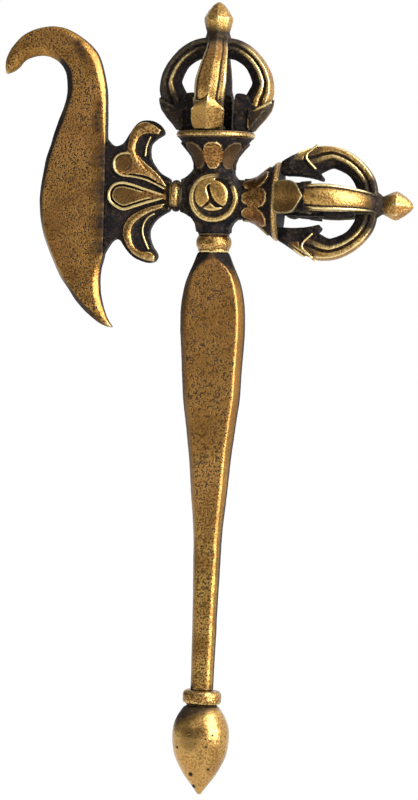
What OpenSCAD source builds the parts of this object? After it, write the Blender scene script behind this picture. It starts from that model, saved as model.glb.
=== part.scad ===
// Kartika chopper in antique brass. Millimetres.
// Origin: middle of the grip, on the handle's axis. +Z runs up the handle, the blade points to -X,
// the second half vajra to +X, and the front face looks to -Y.

/* [Grip] */
// length of the grip between its collar and the pommel ring
grip_len = 109.4; // [90:0.1:140]
// widest part of the grip, seen from the front
grip_w = 16; // [13:0.1:22]
// thickness of the flat faced part
grip_t = 7; // [5.8:0.1:10]
// width of the slim lower end
shaft_w = 5.3; // [4.6:0.1:7]
// width of the bevel beside each flat
grip_bevel = 1.8; // [1:0.1:2.4]
// how far the grip bows to the right in its middle
grip_bow = 0.5; // [0:0.1:1]
// height of the bead ring between hub and grip
grip_collar_h = 5; // [3:0.1:8]
// diameter of that ring
grip_collar_d = 8.9; // [8:0.1:12]

/* [Pommel] */
// height of the ring under the grip
pommel_ring_h = 3.9; // [2.5:0.1:6]
// diameter of that ring
pommel_ring_d = 9.7; // [8:0.1:13]
// length of the bud
bud_len = 22.5; // [16:0.1:30]
// widest diameter of the bud
bud_d = 14.3; // [11:0.1:18]

/* [Hub] */
// radius of the round hub
hub_r = 7; // [6.4:0.1:9]
// thickness of the hub from front to back
hub_t = 9.4; // [8.4:0.1:13]
// reach of the arm that carries the upper half vajra
arm_up = 7.6; // [7.4:0.1:12]
// reach of the arm that carries the side half vajra
arm_right = 8.1; // [7.4:0.1:12]
// reach of the arm to the blade
arm_left = 8.3; // [7.6:0.1:12]
// reach of the arm to the grip
arm_down = 9; // [7.6:0.1:12]
// radius of the arms that carry the half vajras
neck_r = 4.9; // [4.2:0.1:6]
// outer radius of the raised ring on each face
ring_r = 6.4; // [5.8:0.1:6.9]
// width of that raised ring
ring_w = 1.5; // [0.8:0.1:2]
// height of that raised ring
ring_h = 0.7; // [0.4:0.1:1.2]
// thickness of the medallion's plate
medal_t = 0.8; // [0.5:0.1:1.5]
// height of the swirl on the medallion
swirl_h = 0.9; // [0.4:0.1:1.5]
// bend of the lines between its lobes, in degrees
swirl_bend = 62; // [20:1:90]
// number of its lobes
lobes = 3; // [2:1:4]

/* [Palmette and blade] */
// length of the palmette between its collar and the blade
palm_w = 16.4; // [12:0.1:22]
// height of the palmette over both curls
palm_h = 35.6; // [28:0.1:44]
// thickness of the palmette's plate
palm_t = 3.4; // [2.6:0.1:5]
// height of the petals over the plate on each side
petal_h = 0.9; // [0.4:0.1:1.6]
// length of the bead ring between hub and palmette
blade_collar_l = 3; // [2:0.1:5]
// diameter of that ring
blade_collar_d = 8; // [7:0.1:10]
// width of the blade from its seat to the hook's tip
blade_w = 26.2; // [20:0.1:34]
// height of the blade over its hook
blade_h = 74.9; // [60:0.1:95]
// thickness of the blade
blade_t = 4.6; // [3.8:0.1:7]
// thickness left at the cutting edge
edge_t = 1; // [0.4:0.1:2]
// width of the bevel along the cutting edge
edge_bevel = 1.9; // [1:0.1:3]
// width of the bevel along the back
back_bevel = 1.4; // [0.6:0.1:2.4]
// depth of the palmette's tongue in the blade
tongue_l = 2.5; // [1.5:0.1:4]
// length of the round throat between petals and collar
throat_l = 2.2; // [1.4:0.1:3.4]

/* [Half vajras] */
// height of the lotus cup from its neck to the rim's top
cup_h = 8.6; // [7:0.1:12]
// radius of the cup under its rim
cup_r = 9.1; // [8:0.1:12]
// outer radius of the rim
rim_r = 9.85; // [9.4:0.05:12.6]
// height of the rim
rim_h = 1.9; // [1.2:0.1:3]
// height of the petals on the cup
cup_petal_h = 0.55; // [0.3:0.05:1]
// outer radius of the four prongs at their widest
cage_r = 14.5; // [13:0.1:18]
// height of the prongs over the cup
cage_h = 23.7; // [20:0.1:32]
// width of a prong at its head
prong_w = 7.6; // [6:0.1:8.6]
// width of the square stem that the prongs lean on
stem_w = 5.3; // [4.4:0.1:6.2]
// radius of the centre prong
centre_r = 1.5; // [1:0.1:2]
// height of the upper finial over the prongs
top_finial_h = 8.8; // [6:0.1:13]
// height of the side finial over the prongs
side_finial_h = 10.2; // [6:0.1:14]
// widest diameter of a finial
finial_d = 7.4; // [6:0.1:10]
// slope of the side half vajra below the horizontal, in degrees
side_droop = 0.9; // [0:0.1:4]
// distance of its axis below the hub's middle
side_drop = 0.6; // [0:0.1:1.2]
// sideways shift of the foot of the upper front prong
front_lean = 1.7; // [0:0.1:2]
// turn of the side half vajra about its own axis, in degrees
side_twist = 5; // [0:0.5:12]

/* [Fits] */
// radius of the tenons that join the larger pieces
tenon_r = 2.2; // [1.6:0.1:2.6]
// length of those tenons in the hub
tenon_l = 3.2; // [2:0.1:3.4]
// radius of the pin in the pommel
pin_r = 1.3; // [0.9:0.1:1.5]
// clearance round every tenon, pin and inlay
gap = 0.1; // [0.05:0.01:0.2]

/* [Output] */
// node to build

/* [Hidden] */
$fa = 6;
$fs = 0.4;
grip_top = grip_len / 2;
collar_top = grip_top + grip_collar_h;
hub_z = collar_top + arm_down;
ring_top = -grip_len / 2;
bud_top = ring_top - pommel_ring_h;
seat_x = -arm_left - blade_collar_l;
blade_x = seat_x - palm_w;
cup_top = arm_up + cup_h;
crown = cup_top + cage_h;
foot_r = grip_collar_d / 2 - 0.2;
left_r = blade_collar_d / 2 - 0.2;
spigot_r = cup_r - 0.5;

// closed solid through a list of rings with the same number of points
module loft(rings) {
  n = len(rings[0]);
  m = len(rings);
  pts = [for (r = rings) for (p = r) p];
  sides = [for (i = [0:m - 2]) for (j = [0:n - 1]) let (k = (j + 1) % n)
    each [[i * n + j, i * n + k, (i + 1) * n + k], [i * n + j, (i + 1) * n + k, (i + 1) * n + j]]];
  first = [for (j = [n - 1:-1:0]) j];
  last = [for (j = [0:n - 1]) (m - 1) * n + j];
  polyhedron(points = pts, faces = concat([first], sides, [last]), convexity = 6);
}

// grip: half width as a share of grip_w over shaft_w, by distance below the shoulder
grip_shape = [[0, 0.15], [1, 0.27], [2.5, 0.39], [5.2, 0.61], [8, 0.8], [11, 0.92], [14.5, 0.99],
  [19.7, 1], [24.2, 0.95], [30.2, 0.88], [36.5, 0.81], [42.2, 0.67], [51.7, 0.45], [59.4, 0.33],
  [67, 0.19], [72.7, 0.12], [80.5, 0.09], [88.2, 0.05], [96.5, 0.03], [104.5, 0.005], [109.4, 0]];
grip_steps = [for (p = grip_shape) p[0] * grip_len / 109.4];

function grip_half(i) = (shaft_w + grip_shape[i][1] * (grip_w - shaft_w)) / 2;
function grip_thick(d) = lookup(d / grip_len, [[0, 0.9], [0.012, 1], [0.45, 1], [0.75, 0.3], [1, 0]]);
function grip_flat(i, d) = max(0.05, d < 1.2 ? 0.05 : grip_half(i)
  - lookup(d, [[1, grip_half(i)], [3, grip_bevel + 0.9], [5.2, grip_bevel - 0.3],
    [9, grip_bevel], [50, grip_bevel - 0.1], [75, grip_bevel - 0.4], [100, grip_bevel - 0.4]]));

module grip_body() {
  loft([for (i = [0:len(grip_steps) - 1]) let (d = grip_steps[i], h = grip_half(i),
    t = (shaft_w + grip_thick(d) * (grip_t - shaft_w)) / 2, f = grip_flat(i, d), g = t * 0.42)
    [for (p = [[-f, -t], [f, -t], [h, -g], [h, g], [f, t], [-f, t], [-h, g], [-h, -g]])
      [p[0] + grip_bow * sin(180 * d / grip_len), p[1], grip_top - d]]]);
}

module grip() {
  color("goldenrod") union() {
    difference() {
      grip_body();
      translate([0, 0, ring_top - 1]) cylinder(r = pin_r + gap, h = 6);
    }
    translate([0, 0, grip_top - 0.5]) cylinder(r = tenon_r, h = 0.5 + grip_collar_h + tenon_l);
  }
}

// ring with a round bead, bored for the tenon that passes through it
module bead(h, d, bore) {
  rotate_extrude() polygon([[bore, 0], [d / 2 - 0.55, 0], [d / 2 - 0.55, h * 0.12],
    [d / 2 - 0.12, h * 0.24], [d / 2, h * 0.42], [d / 2, h * 0.58], [d / 2 - 0.12, h * 0.76],
    [d / 2 - 0.55, h * 0.88], [d / 2 - 0.55, h], [bore, h]]);
}

module grip_collar() {
  color("darkgoldenrod") translate([0, 0, grip_top])
    bead(grip_collar_h, grip_collar_d, tenon_r + gap);
}

module pommel_ring() {
  color("darkgoldenrod") translate([0, 0, bud_top])
    bead(pommel_ring_h, pommel_ring_d, pin_r + gap);
}

// bud: radius as a share of its widest, by share of its length
module pommel_bud() {
  color("goldenrod") translate([0, 0, bud_top]) {
    rotate_extrude() polygon(concat([[0, 0]], [for (p = [[0, 0.6], [0.06, 0.72], [0.12, 0.83],
      [0.22, 0.96], [0.34, 1], [0.47, 0.965], [0.56, 0.9], [0.63, 0.81], [0.71, 0.68], [0.78, 0.55],
      [0.86, 0.36], [0.93, 0.17], [0.98, 0.05]]) [p[1] * bud_d / 2, -p[0] * bud_len]],
      [[0, -bud_len]]));
    translate([0, 0, -0.5]) cylinder(r = pin_r, h = 0.5 + pommel_ring_h + 4);
  }
}

// arm of the hub along +Z, with a socket for a tenon
module arm(reach, r) {
  cylinder(r = r, h = reach);
  intersection() {
    translate([0, 0, hub_r * 0.5]) cylinder(r1 = r + 1.4, r2 = r, h = hub_r * 0.42);
    cube([3 * hub_r, hub_t + 0.3, 3 * hub_r], center = true);
  }
}

module socket(reach) {
  translate([0, 0, reach - tenon_l - gap]) cylinder(r = tenon_r + gap, h = tenon_l + gap + 1);
}

module side_dir() {
  translate([0, 0, -side_drop]) rotate([0, 90 + side_droop, 0]) children();
}

module medal_place(side) {
  translate([0, side * (hub_t / 2 - medal_t), hub_z]) rotate([-90 * side, 0, 0]) children();
}

module hub() {
  color("peru") difference() {
    union() {
      translate([0, hub_t / 2, hub_z]) rotate([90, 0, 0]) rotate_extrude() polygon([[0, 0],
        [hub_r - 0.5, 0], [hub_r, 0.7], [hub_r, hub_t - 0.7], [hub_r - 0.5, hub_t], [0, hub_t]]);
      for (side = [-1, 1]) translate([0, side * hub_t / 2, hub_z]) rotate([-90 * side, 0, 0])
        cylinder(r1 = ring_r, r2 = ring_r - 0.35, h = ring_h);
      translate([0, 0, hub_z]) arm(arm_up, neck_r);
      translate([0, 0, hub_z]) side_dir() arm(arm_right, neck_r);
      translate([0, 0, hub_z]) rotate([180, 0, 0]) arm(arm_down, foot_r);
      translate([0, 0, hub_z]) rotate([0, -90, 0]) arm(arm_left, left_r);
    }
    for (side = [-1, 1]) medal_place(side)
      cylinder(r = ring_r - ring_w, h = medal_t + ring_h + 1);
    translate([0, 0, hub_z]) socket(arm_up);
    translate([0, 0, hub_z]) side_dir() socket(arm_right);
    translate([0, 0, hub_z]) rotate([180, 0, 0]) socket(arm_down);
    translate([0, 0, hub_z]) rotate([0, -90, 0]) socket(arm_left);
  }
}

// bent line between two lobes of the swirl
function spoke(r, a, swirl_r) = let (t = a + swirl_bend * sin(180 * r / swirl_r))
  [r * cos(t), r * sin(t)];

module medallion() {
  disc_r = ring_r - ring_w - gap;
  swirl_r = disc_r - 0.35;
  lobe_turn = 360 / lobes;
  cylinder(r = disc_r, h = medal_t);
  for (k = [0:lobes - 1]) let (a = k * lobe_turn) translate([0, 0, medal_t / 2])
    linear_extrude(medal_t / 2 + swirl_h) offset(delta = -0.16)
      polygon(concat([for (i = [1:8]) spoke(i * swirl_r / 8, a, swirl_r)],
        [for (i = [1:7]) let (t = a + i * lobe_turn / 8) swirl_r * [cos(t), sin(t)]],
        [for (i = [8:-1:1]) spoke(i * swirl_r / 8, a + lobe_turn, swirl_r)]));
}

module hub_medallion_front() {
  color("gold") medal_place(-1) medallion();
}

module hub_medallion_rear() {
  color("gold") medal_place(1) medallion();
}

module blade_collar() {
  color("darkgoldenrod") translate([seat_x, 0, hub_z]) rotate([0, 90, 0])
    bead(blade_collar_l, blade_collar_d, tenon_r + gap);
}

// palmette outlines in millimetres from the middle of its seat on the collar, at 16.2 by 35.6
upper_edge = [[-0.3, 4.3], [-2.5, 5.5], [-3.9, 7.1], [-5, 9], [-5.3, 11.2], [-4.9, 12.9],
  [-3.3, 14.3], [-1.8, 15.4], [-2.4, 17], [-4.1, 18.3], [-6, 18.7], [-7.9, 18.3], [-9.2, 17.1],
  [-10.7, 14.9], [-11.9, 12.9], [-13.5, 12.1], [-14.8, 12.5], [-16.2, 14.1]];
lower_edge = [[-16.2, -15.2], [-15.4, -13.5], [-14.2, -11.8], [-13.1, -11.2], [-12, -11.6],
  [-11.2, -12.8], [-9.8, -14.6], [-8, -16], [-5.5, -16.9], [-3.7, -16.7], [-2.8, -15.6],
  [-3, -14.4], [-4, -12.9], [-4.8, -10.8], [-4.9, -9], [-4.3, -7.5], [-3.1, -5.9], [-1.6, -4.8]];
upper_leaf = [[-14.5, 8.2], [-14, 9.8], [-12.7, 10.5], [-11, 10.9], [-10.8, 12.4], [-10.2, 15.2],
  [-8.5, 17.5], [-6.5, 18.2], [-3.6, 16.6], [-2.6, 15.5], [-3.6, 15], [-5.7, 15.4], [-7.7, 15],
  [-8.9, 13], [-9, 10.9], [-8, 8.9], [-6.2, 6.7], [-3.3, 4.2], [-1, 1.9], [-3.3, 2.9],
  [-6.2, 3.9], [-9.5, 4.4], [-12.1, 4.6], [-13.8, 5.8]];
lower_leaf = [[-1, -2.1], [-4.6, -2.9], [-7.6, -4.2], [-10.2, -6], [-11.4, -8.8], [-10.8, -12],
  [-8.6, -14.7], [-5.9, -16], [-3.8, -16.1], [-3.3, -15.1], [-4.6, -14.2], [-6.6, -14.1],
  [-8.4, -12.8], [-9.2, -10.5], [-9.1, -8.2], [-8, -6.3], [-6.2, -4.9], [-4, -3.9]];
mid_petal = [[-15.2, -0.4], [-15, 1.1], [-13.8, 2.6], [-11.8, 3.1], [-9.2, 2.6], [-6.1, 1.6],
  [-2.2, 0.4], [-0.8, -0.3], [-2.2, -1], [-6.1, -2.1], [-9.1, -3.2], [-11.4, -3.9], [-13.2, -3.2],
  [-14.8, -1.8]];

function sized(pts) = [for (p = pts) [p[0] * palm_w / 16.2, p[1] * palm_h / 35.6]];

module petal(pts, groove) {
  linear_extrude(palm_t / 2 + petal_h) difference() {
    polygon(sized(pts));
    if (groove) difference() {
      offset(delta = -0.7) polygon(sized(pts));
      offset(delta = -1) polygon(sized(pts));
    }
  }
}

module palmette() {
  color("khaki") translate([seat_x, 0, hub_z]) {
    rotate([90, 0, 0]) {
      translate([0, 0, -palm_t / 2]) linear_extrude(palm_t)
        polygon(concat([[0, left_r]], sized(upper_edge), sized(lower_edge), [[0, -left_r]]));
      translate([blade_x - seat_x - tongue_l, -palm_h * 0.2, -palm_t / 4])
        cube([tongue_l + 1, palm_h * 0.4, palm_t / 2]);
      for (face = [0, 1]) mirror([0, 0, face]) {
        petal(upper_leaf, false);
        petal(lower_leaf, false);
        petal(mid_petal, true);
      }
    }
    intersection() {
      translate([-throat_l, 0, 0]) rotate([0, 90, 0])
        cylinder(r1 = palm_t / 2 + 0.1, r2 = left_r, h = throat_l);
      translate([-throat_l, -left_r, -left_r]) cube([throat_l, 2 * left_r, 2 * left_r]);
    }
    translate([-0.5, 0, 0]) rotate([0, 90, 0])
      cylinder(r = tenon_r, h = 0.5 + blade_collar_l + tenon_l);
  }
}

// blade: cutting edge and back at each station, in millimetres from its seat, at 26 by 74.9, then
// the two bevels there as shares of edge_bevel and back_bevel
blade_ribs = [[[-25.6, 29.7], [-25.9, 29.9], 1, 0.4], [[-23.9, 30.3], [-26, 32.5], 1, 0.4],
  [[-22.3, 31.6], [-25.1, 35.1], 1, 0.4], [[-21.6, 32.6], [-23.5, 37.4], 1, 0.4],
  [[-20.2, 33.6], [-21.3, 39.5], 1.1, 0.4], [[-17.3, 34.4], [-18.4, 41], 1.1, 0.4],
  [[-14.8, 34.1], [-15, 41.7], 1.1, 0.5], [[-13, 33.2], [-11.7, 41.5], 1, 0.6],
  [[-12.1, 32.4], [-8.7, 40.3], 0.9, 0.9], [[-11.4, 31.5], [-5.1, 37.7], 0.9, 1.1],
  [[-10.8, 30.3], [-2.4, 34.3], 1, 1.2], [[-10.5, 29.1], [-0.8, 28.8], 1, 1.1],
  [[-10.3, 27], [-0.2, 24.6], 1, 0.9], [[-10.4, 24.5], [-0.05, 19.8], 0.9, 0.7],
  [[-11.1, 21.6], [0, 16.5], 0.8, 0.6], [[-12.2, 18.6], [0, 14.1], 0.7, 0.3],
  [[-13.2, 15.6], [0, 11], 0.6, 0.3], [[-14.1, 12.4], [0, 8], 0.5, 0.3],
  [[-15.2, 8.9], [0, 5], 0.45, 0.3], [[-15.9, 5], [0, 2], 0.4, 0.3],
  [[-16.5, 0.8], [0, -1], 0.4, 0.3], [[-16.6, -2.8], [0, -4], 0.4, 0.3],
  [[-16.3, -6.4], [0, -7], 0.4, 0.3], [[-15.7, -9.4], [0, -10], 0.4, 0.3],
  [[-14.7, -12.4], [0, -12.9], 0.4, 0.3], [[-13.2, -16], [0, -15.4], 0.4, 0.4],
  [[-11.1, -20.5], [-0.7, -18.6], 0.5, 0.9], [[-9.2, -23.3], [-0.9, -21.3], 0.6, 1.1],
  [[-6.7, -26.9], [-0.7, -24.6], 0.7, 1.1], [[-3.8, -30], [0, -27.6], 0.8, 1],
  [[-0.8, -32.3], [1.1, -30.7], 0.8, 0.9], [[1.1, -33.1], [2, -32.3], 0.8, 0.9],
  [[2.5, -33.35], [2.75, -33.2], 0.8, 0.9]];

function rib_ring(a, b, ks, kb) = let (w = norm(b - a), u = (b - a) / w,
  seat = b[0] == 0 && b[1] < 15 && b[1] > -16, tb = blade_t / 2 * min(1, 0.35 + w / 9),
  e = min(edge_t / 2, tb * 0.6), eb = min(edge_bevel * ks, 0.36 * w),
  bb = min(back_bevel * kb, 0.34 * w), eh = seat ? tb - 0.3 : tb * 0.55,
  pts = [[0, -e], [eb, -tb], [w - bb, -tb], [w, -eh], [w, eh], [w - bb, tb], [eb, tb], [0, e]])
  [for (p = pts) [a[0] + u[0] * p[0], p[1], a[1] + u[1] * p[0]]];

module blade() {
  color("burlywood") translate([blade_x, 0, hub_z]) difference() {
    loft([for (r = blade_ribs) rib_ring(
      [r[0][0] * blade_w / 26, r[0][1] * blade_h / 74.9],
      [r[1][0] * blade_w / 26, r[1][1] * blade_h / 74.9], r[2], r[3])]);
    translate([-tongue_l - gap, -palm_t / 4 - gap, -palm_h * 0.2 - gap])
      cube([tongue_l + gap + 1, palm_t / 2 + 2 * gap, palm_h * 0.4 + 2 * gap]);
  }
}

// half vajra, built along +Z from the hub's centre
module at_top() {
  translate([0, 0, hub_z]) children();
}

module at_side() {
  translate([0, 0, hub_z]) side_dir() translate([0, 0, arm_right - arm_up])
    rotate([0, 0, -side_twist]) children();
}

function cup_out(s) = lookup((s - arm_up) / (cup_h - rim_h), [[0, neck_r], [0.1, neck_r],
  [0.38, neck_r + 0.17 * (cup_r - neck_r)], [0.68, neck_r + 0.55 * (cup_r - neck_r)],
  [0.9, neck_r + 0.85 * (cup_r - neck_r)], [1, cup_r]]);
cup_steps = [for (k = [0, 0.1, 0.38, 0.68, 0.9, 1]) arm_up + k * (cup_h - rim_h)];

module cup_shell(extra) {
  rotate_extrude() polygon(concat([[0, arm_up]], [for (s = cup_steps) [cup_out(s) + extra, s]],
    [[0, cup_top - rim_h]]));
}

// outline of a cup petal, seen from outside, standing on the neck
module cup_petal() {
  b = cup_top - rim_h - arm_up;
  polygon([for (p = [[-1.2, 0.04], [1.2, 0.04], [1.5, 0.25], [2.3, 0.5], [2.5, 0.72], [2.1, 0.88],
    [1.2, 0.96], [-1.2, 0.96], [-2.1, 0.88], [-2.5, 0.72], [-2.3, 0.5], [-1.5, 0.25]])
    [p[0] * cup_r / 9.1, arm_up + p[1] * b]]);
}

module lotus_cup() {
  difference() {
    union() {
      cup_shell(0);
      intersection() {
        cup_shell(cup_petal_h);
        for (k = [0:7]) rotate([0, 0, k * 45]) rotate([90, 0, 0]) translate([0, 0, 1])
          linear_extrude(cup_r + 2) cup_petal();
      }
      translate([0, 0, cup_top - rim_h - 0.5]) cylinder(r = spigot_r, h = rim_h + 0.5);
      translate([0, 0, arm_up - tenon_l]) cylinder(r = tenon_r, h = tenon_l + 0.5);
    }
    translate([0, 0, cup_top - 2]) cylinder(r = centre_r - 0.5 + gap, h = 3);
    for (k = [0:3]) rotate([0, 0, k * 90]) translate([spigot_r - 1.6, 0, cup_top - 1.3])
      cylinder(r = 0.7 + gap, h = 2);
  }
}

module cup_rim() {
  translate([0, 0, cup_top - rim_h]) rotate_extrude() polygon([[spigot_r + gap, 0], [cup_r, 0],
    [rim_r - 0.25, 0.3], [rim_r, rim_h * 0.4], [rim_r, rim_h * 0.7], [rim_r - 0.35, rim_h],
    [spigot_r + gap, rim_h]]);
}

// prong: inner and outer edge [height, radius] and width at each station, at 14.5 by 23.7
prong_ribs = [[[0, 6.6], [0, 9.4], 6.2], [[1.4, 6.5], [1.6, 10.6], 7.3],
  [[3.4, 6.5], [3.4, 12], 7.6], [[5.4, 6.5], [5.4, 13.3], 7.6], [[7, 6.5], [6.8, 14.2], 7.2],
  [[8.6, 6.1], [8.2, 14.4], 6.4], [[10.4, 5.6], [9.2, 14.5], 6.3], [[10.5, 8.6], [9.6, 14.5], 6.9],
  [[12, 8.8], [12, 14.3], 6.8], [[13.4, 8.5], [14.3, 13.8], 6.6], [[14.6, 8], [16.7, 12.7], 6.3],
  [[15.8, 7.3], [19, 11], 5.9], [[16.8, 6.3], [21, 9], 5.5], [[17.6, 5.1], [22.4, 6.9], 5.1],
  [[18.1, 3.9], [23.2, 4.8], 4.8], [[18.3, 2.65], [23.7, 2.65], 4.6]];

// sideways shift of a leaning prong as a share of the shift at its foot, by share of its height
lean_shape = [[0, 1], [0.13, 0.9], [0.34, 0.55], [0.55, 0.38], [0.84, -0.1], [1, 0]];

function prong_x(r, last) = last ? stem_w / 2 : max(stem_w / 2, r * cage_r / 14.5);

function prong_ring(k, lean) = let (q = prong_ribs[k], last = k == len(prong_ribs) - 1,
  a = [cup_top + q[0][0] * cage_h / 23.7, prong_x(q[0][1], last)],
  b = [cup_top + q[1][0] * cage_h / 23.7, prong_x(q[1][1], last)],
  h = q[2] / 2 * prong_w / 7.6, n = k > 5 && k < 8 ? 0.5 : 0.8)
  [for (p = [[0, n], [0.35, 0.95], [0.86, 1], [1, 0.35], [1, -0.35], [0.86, -1], [0.35, -0.95],
    [0, -n]]) let (m = a + (b - a) * p[0])
    [m[1], h * p[1] + lean * lookup((m[0] - cup_top) / cage_h, lean_shape), m[0]]];

module prong(angle, lean = 0) {
  rotate([0, 0, angle]) union() {
    loft([for (k = [0:len(prong_ribs) - 1]) prong_ring(k, lean)]);
    translate([spigot_r - 1.6, 0, cup_top - 1.2]) cylinder(r = 0.7, h = 1.7);
  }
}

module centre_prong() {
  h = 18.3 * cage_h / 23.7;
  rotate_extrude() polygon([[0, cup_top - 1.8], [centre_r - 0.5, cup_top - 1.8],
    [centre_r - 0.5, cup_top], [centre_r + 0.7, cup_top], [centre_r + 0.9, cup_top + 0.9],
    [centre_r + 0.2, cup_top + 2], [centre_r, cup_top + h * 0.5], [centre_r - 0.1, cup_top + h],
    [centre_r - 0.6, cup_top + h], [centre_r - 0.6, cup_top + h + 1.8], [0, cup_top + h + 1.8]]);
}

module finial(h) {
  foot = cup_top + 18.3 * cage_h / 23.7;
  r = finial_d / 2;
  difference() {
    union() {
      translate([-stem_w / 2, -stem_w / 2, foot]) cube([stem_w, stem_w, crown - foot + 0.1]);
      translate([0, 0, crown]) rotate_extrude($fn = 8) polygon([[0, 0], [3.1, 0],
        [2.85, h * 0.13], [2.95, h * 0.24], [r * 0.93, h * 0.4], [r, h * 0.52], [r * 0.7, h * 0.72],
        [r * 0.34, h * 0.9], [0.2, h], [0, h]]);
    }
    translate([0, 0, foot - 1]) cylinder(r = centre_r - 0.6 + gap, h = 3);
  }
}

module top_lotus_cup() {
  color("peru") at_top() lotus_cup();
}

module top_cup_rim() {
  color("gold") at_top() cup_rim();
}

module top_prong_front() {
  color("goldenrod") at_top() prong(-90, -front_lean);
}

module top_prong_rear() {
  color("tan") at_top() prong(90);
}

module top_prong_left() {
  color("burlywood") at_top() prong(180);
}

module top_prong_right() {
  color("burlywood") at_top() prong(0);
}

module top_centre_prong() {
  color("sienna") at_top() centre_prong();
}

module top_finial() {
  color("gold") at_top() finial(top_finial_h);
}

module side_lotus_cup() {
  color("peru") at_side() lotus_cup();
}

module side_cup_rim() {
  color("gold") at_side() cup_rim();
}

module side_prong_front() {
  color("goldenrod") at_side() prong(-90);
}

module side_prong_rear() {
  color("tan") at_side() prong(90);
}

module side_prong_upper() {
  color("burlywood") at_side() prong(180);
}

module side_prong_lower() {
  color("burlywood") at_side() prong(0);
}

module side_centre_prong() {
  color("sienna") at_side() centre_prong();
}

module side_finial() {
  color("gold") at_side() finial(side_finial_h);
}

blade();
palmette();
blade_collar();
hub();
hub_medallion_front();
hub_medallion_rear();
grip_collar();
grip();
pommel_ring();
pommel_bud();
top_lotus_cup();
top_cup_rim();
top_prong_front();
top_prong_rear();
top_prong_left();
top_prong_right();
top_centre_prong();
top_finial();
side_lotus_cup();
side_cup_rim();
side_prong_front();
side_prong_rear();
side_prong_upper();
side_prong_lower();
side_centre_prong();
side_finial();
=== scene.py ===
from math import atan2, cos, hypot, pi, radians, sin

import bpy
import numpy as np
from mathutils import Matrix, Vector


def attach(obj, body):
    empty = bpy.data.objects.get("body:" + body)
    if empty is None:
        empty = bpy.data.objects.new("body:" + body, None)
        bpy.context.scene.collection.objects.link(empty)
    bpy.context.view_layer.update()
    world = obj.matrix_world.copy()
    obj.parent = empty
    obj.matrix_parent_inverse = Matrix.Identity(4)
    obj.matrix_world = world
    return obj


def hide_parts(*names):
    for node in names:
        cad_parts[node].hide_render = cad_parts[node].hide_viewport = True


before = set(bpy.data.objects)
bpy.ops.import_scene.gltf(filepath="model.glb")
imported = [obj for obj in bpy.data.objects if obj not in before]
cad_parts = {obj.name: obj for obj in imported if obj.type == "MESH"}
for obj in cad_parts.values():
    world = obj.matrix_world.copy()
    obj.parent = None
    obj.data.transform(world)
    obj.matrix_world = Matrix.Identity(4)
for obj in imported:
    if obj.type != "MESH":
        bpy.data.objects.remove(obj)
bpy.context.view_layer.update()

# Blade: a crescent chopper blade with a hooked top, cast in brass about 4.6 mm thick. Its two faces
# are filed flat and speckled with casting pits, its cutting edge and back are bevelled, and the
# patina was left on its sides. It is shaped here in millimetres round the middle of the hub.
MM = 0.001
HUB = Vector((0, 0, 68.7))
SEAT_X = -11.3
BLADE_X = -27.7
BLADE_T = 4.6
EDGE_T = 1.0
EDGE_BEVEL = 1.9
BACK_BEVEL = 1.4
CROWN = 0.12
# where its back is seated on the palmette, from and to in height, and how far its edge is broken
SEAT_FOOT = -16
SEAT_HEAD = 14.5
SEAT_BREAK = 0.3
# cutting edge x and z, back x and z, the two bevels as shares, and patina on the cutting bevel
BLADE_RIBS = [
    (-25.8, 29.7, -26.1, 29.9, 1, 0.4, 0), (-24.1, 30.3, -26.2, 32.5, 1, 0.4, 0),
    (-22.5, 31.6, -25.3, 35.1, 1, 0.4, 0), (-21.8, 32.6, -23.7, 37.4, 1, 0.4, 0),
    (-20.4, 33.6, -21.5, 39.5, 1.1, 0.4, 0), (-17.4, 34.4, -18.5, 41, 1.1, 0.4, 0),
    (-14.9, 34.1, -15.1, 41.7, 1.1, 0.5, 0.1), (-13.1, 33.2, -11.8, 41.5, 1, 0.6, 0.4),
    (-12.2, 32.4, -8.8, 40.3, 0.9, 0.9, 0.9), (-11.5, 31.5, -5.1, 37.7, 0.9, 1.1, 1),
    (-10.9, 30.3, -2.4, 34.3, 1, 1.2, 1), (-10.6, 29.1, -0.8, 28.8, 1, 1.1, 1),
    (-10.4, 27, -0.2, 24.6, 1, 0.9, 1), (-10.5, 24.5, -0.05, 19.8, 0.9, 0.7, 1),
    (-11.2, 21.6, 0, 16.5, 0.8, 0.6, 0.9), (-12.3, 18.6, 0, 14.1, 0.9, 0.3, 1),
    (-13.3, 15.6, 0, 11, 0.8, 0.3, 1), (-14.2, 12.4, 0, 8, 0.75, 0.3, 1),
    (-15.3, 8.9, 0, 5, 0.7, 0.3, 1), (-16, 5, 0, 2, 0.65, 0.3, 1),
    (-16.6, 0.8, 0, -1, 0.6, 0.3, 0.95), (-16.7, -2.8, 0, -4, 0.6, 0.3, 0.9),
    (-16.4, -6.4, 0, -7, 0.55, 0.3, 0.8), (-15.8, -9.4, 0, -10, 0.5, 0.3, 0.7),
    (-14.8, -12.4, 0, -12.9, 0.45, 0.3, 0.6), (-13.3, -16, 0, -15.4, 0.4, 0.4, 0.3),
    (-11.2, -20.5, -0.7, -18.6, 0.5, 0.9, 0.6), (-9.3, -23.3, -0.9, -21.3, 0.6, 1.1, 0.8),
    (-6.8, -26.9, -0.7, -24.6, 0.7, 1.1, 0.9), (-3.8, -30, 0, -27.6, 0.8, 1, 0.9),
    (-0.8, -32.3, 1.1, -30.7, 0.8, 0.9, 0.7), (1.1, -33.1, 2, -32.3, 0.8, 0.9, 0.5),
    (2.5, -33.35, 2.75, -33.2, 0.8, 0.9, 0.3)]


def alone(piece):
    """Selects one piece and nothing else."""
    bpy.ops.object.select_all(action="DESELECT")
    piece.select_set(True)
    bpy.context.view_layer.objects.active = piece


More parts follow.
